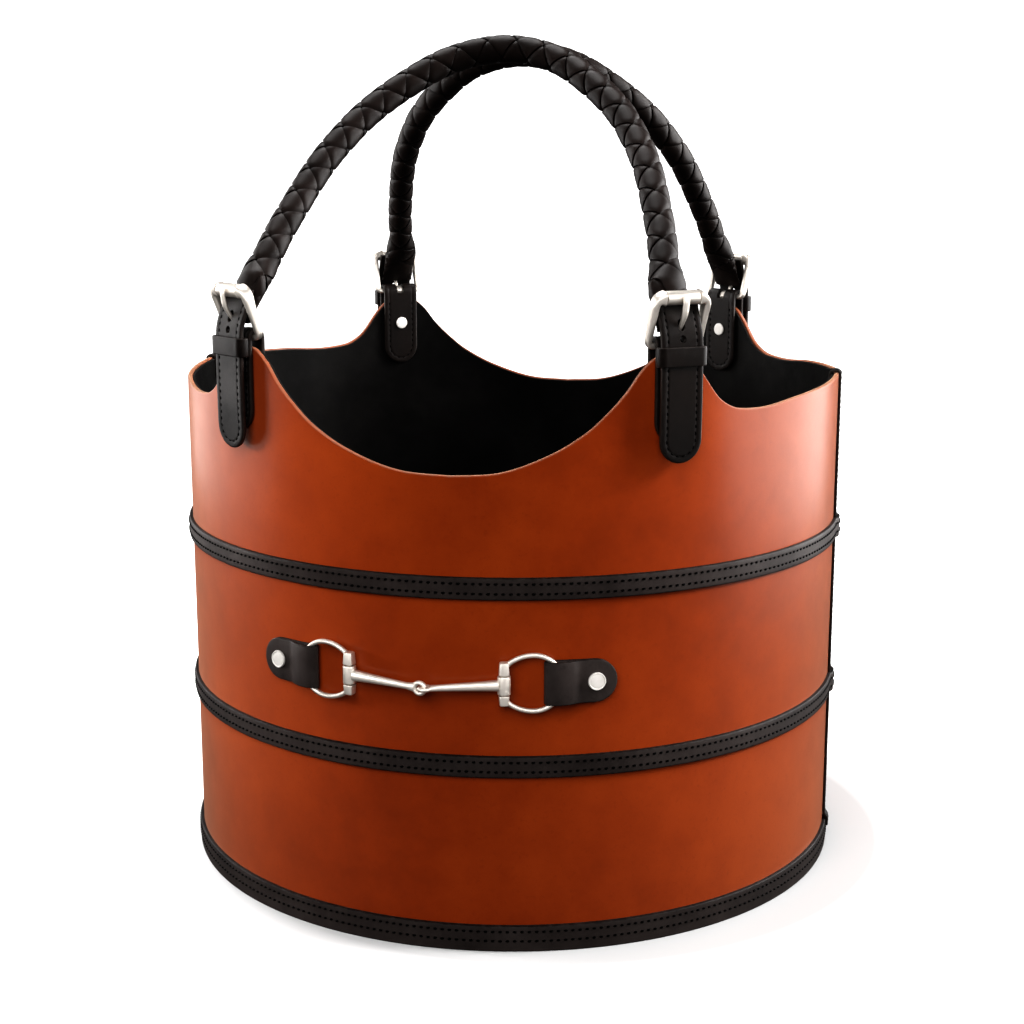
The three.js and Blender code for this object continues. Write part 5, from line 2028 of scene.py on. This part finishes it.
@dataclass(frozen=True)
class Lamp:
    """Soft box, placed by its direction from the object and its distance in metres."""

    name: str
    azimuth: float
    elevation: float
    far: float
    size: tuple[float, float]
    watts: float
    aim: float = 0.25
    spread: float = 180.0
    reflected: bool = True
    metal_only: bool = False

    def build(self, yaw: float) -> bpy.types.Object:
        """Makes the light, facing the object at the height that it aims at.

        Args:
            yaw: Turn of the camera, from which the azimuth counts, positive to the right.

        Returns:
            The light.
        """
        data = bpy.data.lights.new(self.name, "AREA")
        data.shape, data.size, data.size_y, data.energy = "RECTANGLE", *self.size, self.watts
        data.spread = math.radians(self.spread)
        made = linked(self.name, data)
        rise = math.radians(self.elevation)
        way = Vector(at_turn(self.azimuth + yaw, math.cos(rise), math.sin(rise)).tolist())
        made.location = way * self.far + Vector((0, 0, self.aim))
        made.rotation_mode = "QUATERNION"
        made.rotation_quaternion = (-way).to_track_quat("-Z", "Y")
        made.visible_glossy = self.reflected
        if self.metal_only:
            made.light_linking.receiver_collection = metal_pieces()
        return made


LAMPS = (
    Lamp("left_key", -98, 8, 1.9, (0.45, 0.45), 1.6, aim=0.29, spread=32, reflected=False),
    Lamp("left_card", -113, 8, 1.3, (1.5, 1.5), 12),
    Lamp("right_key", 92, 30, 1.5, (1.0, 0.9), 5.0, aim=0.55, spread=30, reflected=False),
    Lamp("right_box", 100, 14, 1.15, (1.4, 1.4), 21, aim=0.22),
    Lamp("top_box", -150, 72, 1.8, (1.4, 1.4), 18),
    Lamp("front_fill", -14, 34, 2.4, (2.0, 2.0), 50, reflected=False),
    Lamp("metal_left", -44, 6, 2.0, (2.8, 0.3), 13, metal_only=True),
    Lamp("metal_right", 40, 6, 2.0, (2.8, 0.3), 12, metal_only=True),
    Lamp("metal_strip", 0, 38, 1.8, (4.0, 0.24), 19, metal_only=True),
)
FLOOR_CARD = Lamp("floor_card", 0, 0, 1.29, (3.0, 1.9), 5, metal_only=True)


@dataclass
class Studio:
    """Pale floor that sweeps up behind, soft lights and the camera. These lengths are metres."""

    yaw: float = 11.7
    distance: float = 1.1739
    height: float = 0.4625
    across: float = -0.00091
    pitch: float = 11.6965
    lens: float = 61.445
    sensor: float = 36.0
    floor_half: float = 4.0
    floor_back: float = 3.0
    sweep_radius: float = 1.6
    wall_height: float = 4.0
    paper: tuple = (0.93, 0.93, 0.93, 1)
    paper_away: tuple = (0.04, 0.04, 0.04, 1)
    sky: float = 0.06
    paper_glow: float = 0.8
    paper_roughness: float = 0.9
    paper_specular: float = 0.1
    # Weaker glow and darker paper near the basket, centred a little to its right, paint a shadow round its base.
    glow_near: tuple = (0.45, 0.45, 0.45, 1)
    glow_close: tuple = (0.05, 0.05, 0.05, 1)
    paper_close: tuple = (0.5, 0.5, 0.5, 1)
    shade_centre: tuple = (0.022, -0.006, 0.0)
    shade_ring: tuple[float, float] = (0.228, 0.268)
    glow_ring: tuple[float, float] = (0.4, 1.2)
    card_height: float = 0.006

    def build_floor(self) -> None:
        """Makes the floor and the sweep behind it."""
        flat = np.linspace(-self.floor_half, self.floor_back - self.sweep_radius, 12)
        bend = arc((self.floor_back - self.sweep_radius, self.sweep_radius), self.sweep_radius, -90, 0, 16)
        line = [*((y, 0.0) for y in flat), *bend[1:], (self.floor_back, self.wall_height)]
        xs = np.linspace(-self.floor_half, self.floor_half, 9)
        m = len(xs)
        faces = [
            (i * m + j, i * m + j + 1, (i + 1) * m + j + 1, (i + 1) * m + j)
            for i in range(len(line) - 1) for j in range(m - 1)
        ]
        mesh = bpy.data.meshes.new("studio_paper")
        mesh.from_pydata([(x, y, z) for y, z in line for x in xs], [], faces)
        mesh.polygons.foreach_set("use_smooth", [True] * len(mesh.polygons))
        mesh.materials.append(self.paper_material())
        floor = linked("studio_paper", mesh)
        floor.rotation_euler[2] = math.radians(self.yaw)
        floor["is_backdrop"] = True

    def paper_material(self) -> bpy.types.Material:
        """Paper that is white for the camera, with a painted shadow round the object, and nearly black for every other
        ray.

        Returns:
            The material.
        """
        paper = bpy.data.materials.new("studio_paper")
        paper.use_nodes = True
        nodes = Nodes(paper.node_tree)
        shader = paper.node_tree.nodes["Principled BSDF"]
        seen = nodes.add("ShaderNodeLightPath").outputs["Is Camera Ray"]
        place = nodes.add("ShaderNodeTexCoord").outputs["Object"]
        # Darker paper and weaker glow round the base make a painted shadow, fading out with distance.
        offset = nodes.add("ShaderNodeVectorMath", {0: place, 1: self.shade_centre}, operation="DISTANCE")
        away = nodes.ranged(offset.outputs["Value"], *self.shade_ring)
        near = nodes.mixed(away, self.glow_close, self.glow_near)
        glow = nodes.mixed(nodes.ranged(offset.outputs["Value"], *self.glow_ring), near, (1, 1, 1, 1))
        nodes.fill(shader, {
            "Base Color": nodes.mixed(seen, self.paper_away, nodes.mixed(away, self.paper_close, self.paper)),
            "Emission Color": nodes.mixed(seen, (0, 0, 0, 1), glow),
            "Emission Strength": self.paper_glow,
            "Roughness": self.paper_roughness,
            "Specular IOR Level": self.paper_specular,
        })
        return paper

    def build_lights(self) -> None:
        """Makes the soft boxes, and a glowing sheet on the floor in front that the metal pieces alone reflect."""
        for lamp in LAMPS:
            lamp.build(self.yaw)
        card = FLOOR_CARD.build(self.yaw)
        card.location[2] = self.card_height
        card.rotation_mode = "XYZ"
        card.rotation_euler = (math.pi, 0, math.radians(self.yaw))
        card.visible_camera = False

    def build_world(self) -> None:
        """Makes the pale surroundings that the lights add to."""
        world = bpy.data.worlds.new("studio")
        bpy.context.scene.world = world
        world.use_nodes = True
        nodes = Nodes(world.node_tree)
        seen = nodes.add("ShaderNodeLightPath").outputs["Is Camera Ray"]
        nodes.fill(world.node_tree.nodes["Background"], {
            "Color": (1, 1, 1, 1), "Strength": nodes.ranged(seen, 0, 1, self.sky, 1.0),
        })

    def build_camera(self) -> None:
        """Makes the camera at the photographed angle."""
        data = bpy.data.cameras.new("camera")
        data.lens, data.sensor_width = self.lens, self.sensor
        camera = linked("camera", data)
        camera.location = Station(self.yaw, self.distance).place([self.across, 0, self.height])
        camera.rotation_euler = (math.radians(90 - self.pitch), 0, math.radians(self.yaw))
        bpy.context.scene.camera = camera

    def build(self) -> None:
        """Makes the whole studio."""
        self.build_camera()
        self.build_world()
        self.build_floor()
        self.build_lights()
        bpy.context.scene.view_settings.view_transform = "Standard"
        bpy.context.scene.view_settings.look = "High Contrast"


def write_sizes() -> None:
    """Puts the CAD box and the dressed model's box in a table, which is not kept."""
    boxes = {"cad": CAD_BOX, "visual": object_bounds()}
    {name: [list(corner) for corner in box] for name, box in boxes.items()}


def main() -> None:
    """Builds the basket's pieces in order."""
    logging.basicConfig(level=logging.INFO, format="%(message)s")
    Studio().build()
    Wall().build()
    Band("upper_band", 213.4).build()
    Band("middle_band", 107.6).build()
    Band("base_band", 0.0, width=16.1, rows=(0.42, 0.78), creases=(0.12,), climbs=False).build()
    for corner in Corner:
        StrapStation(corner).build()
    BraidedHandle("front").build()
    BraidedHandle("back").build()
    BitOrnament().build()
    write_sizes()


if __name__ == "__main__":
    main()
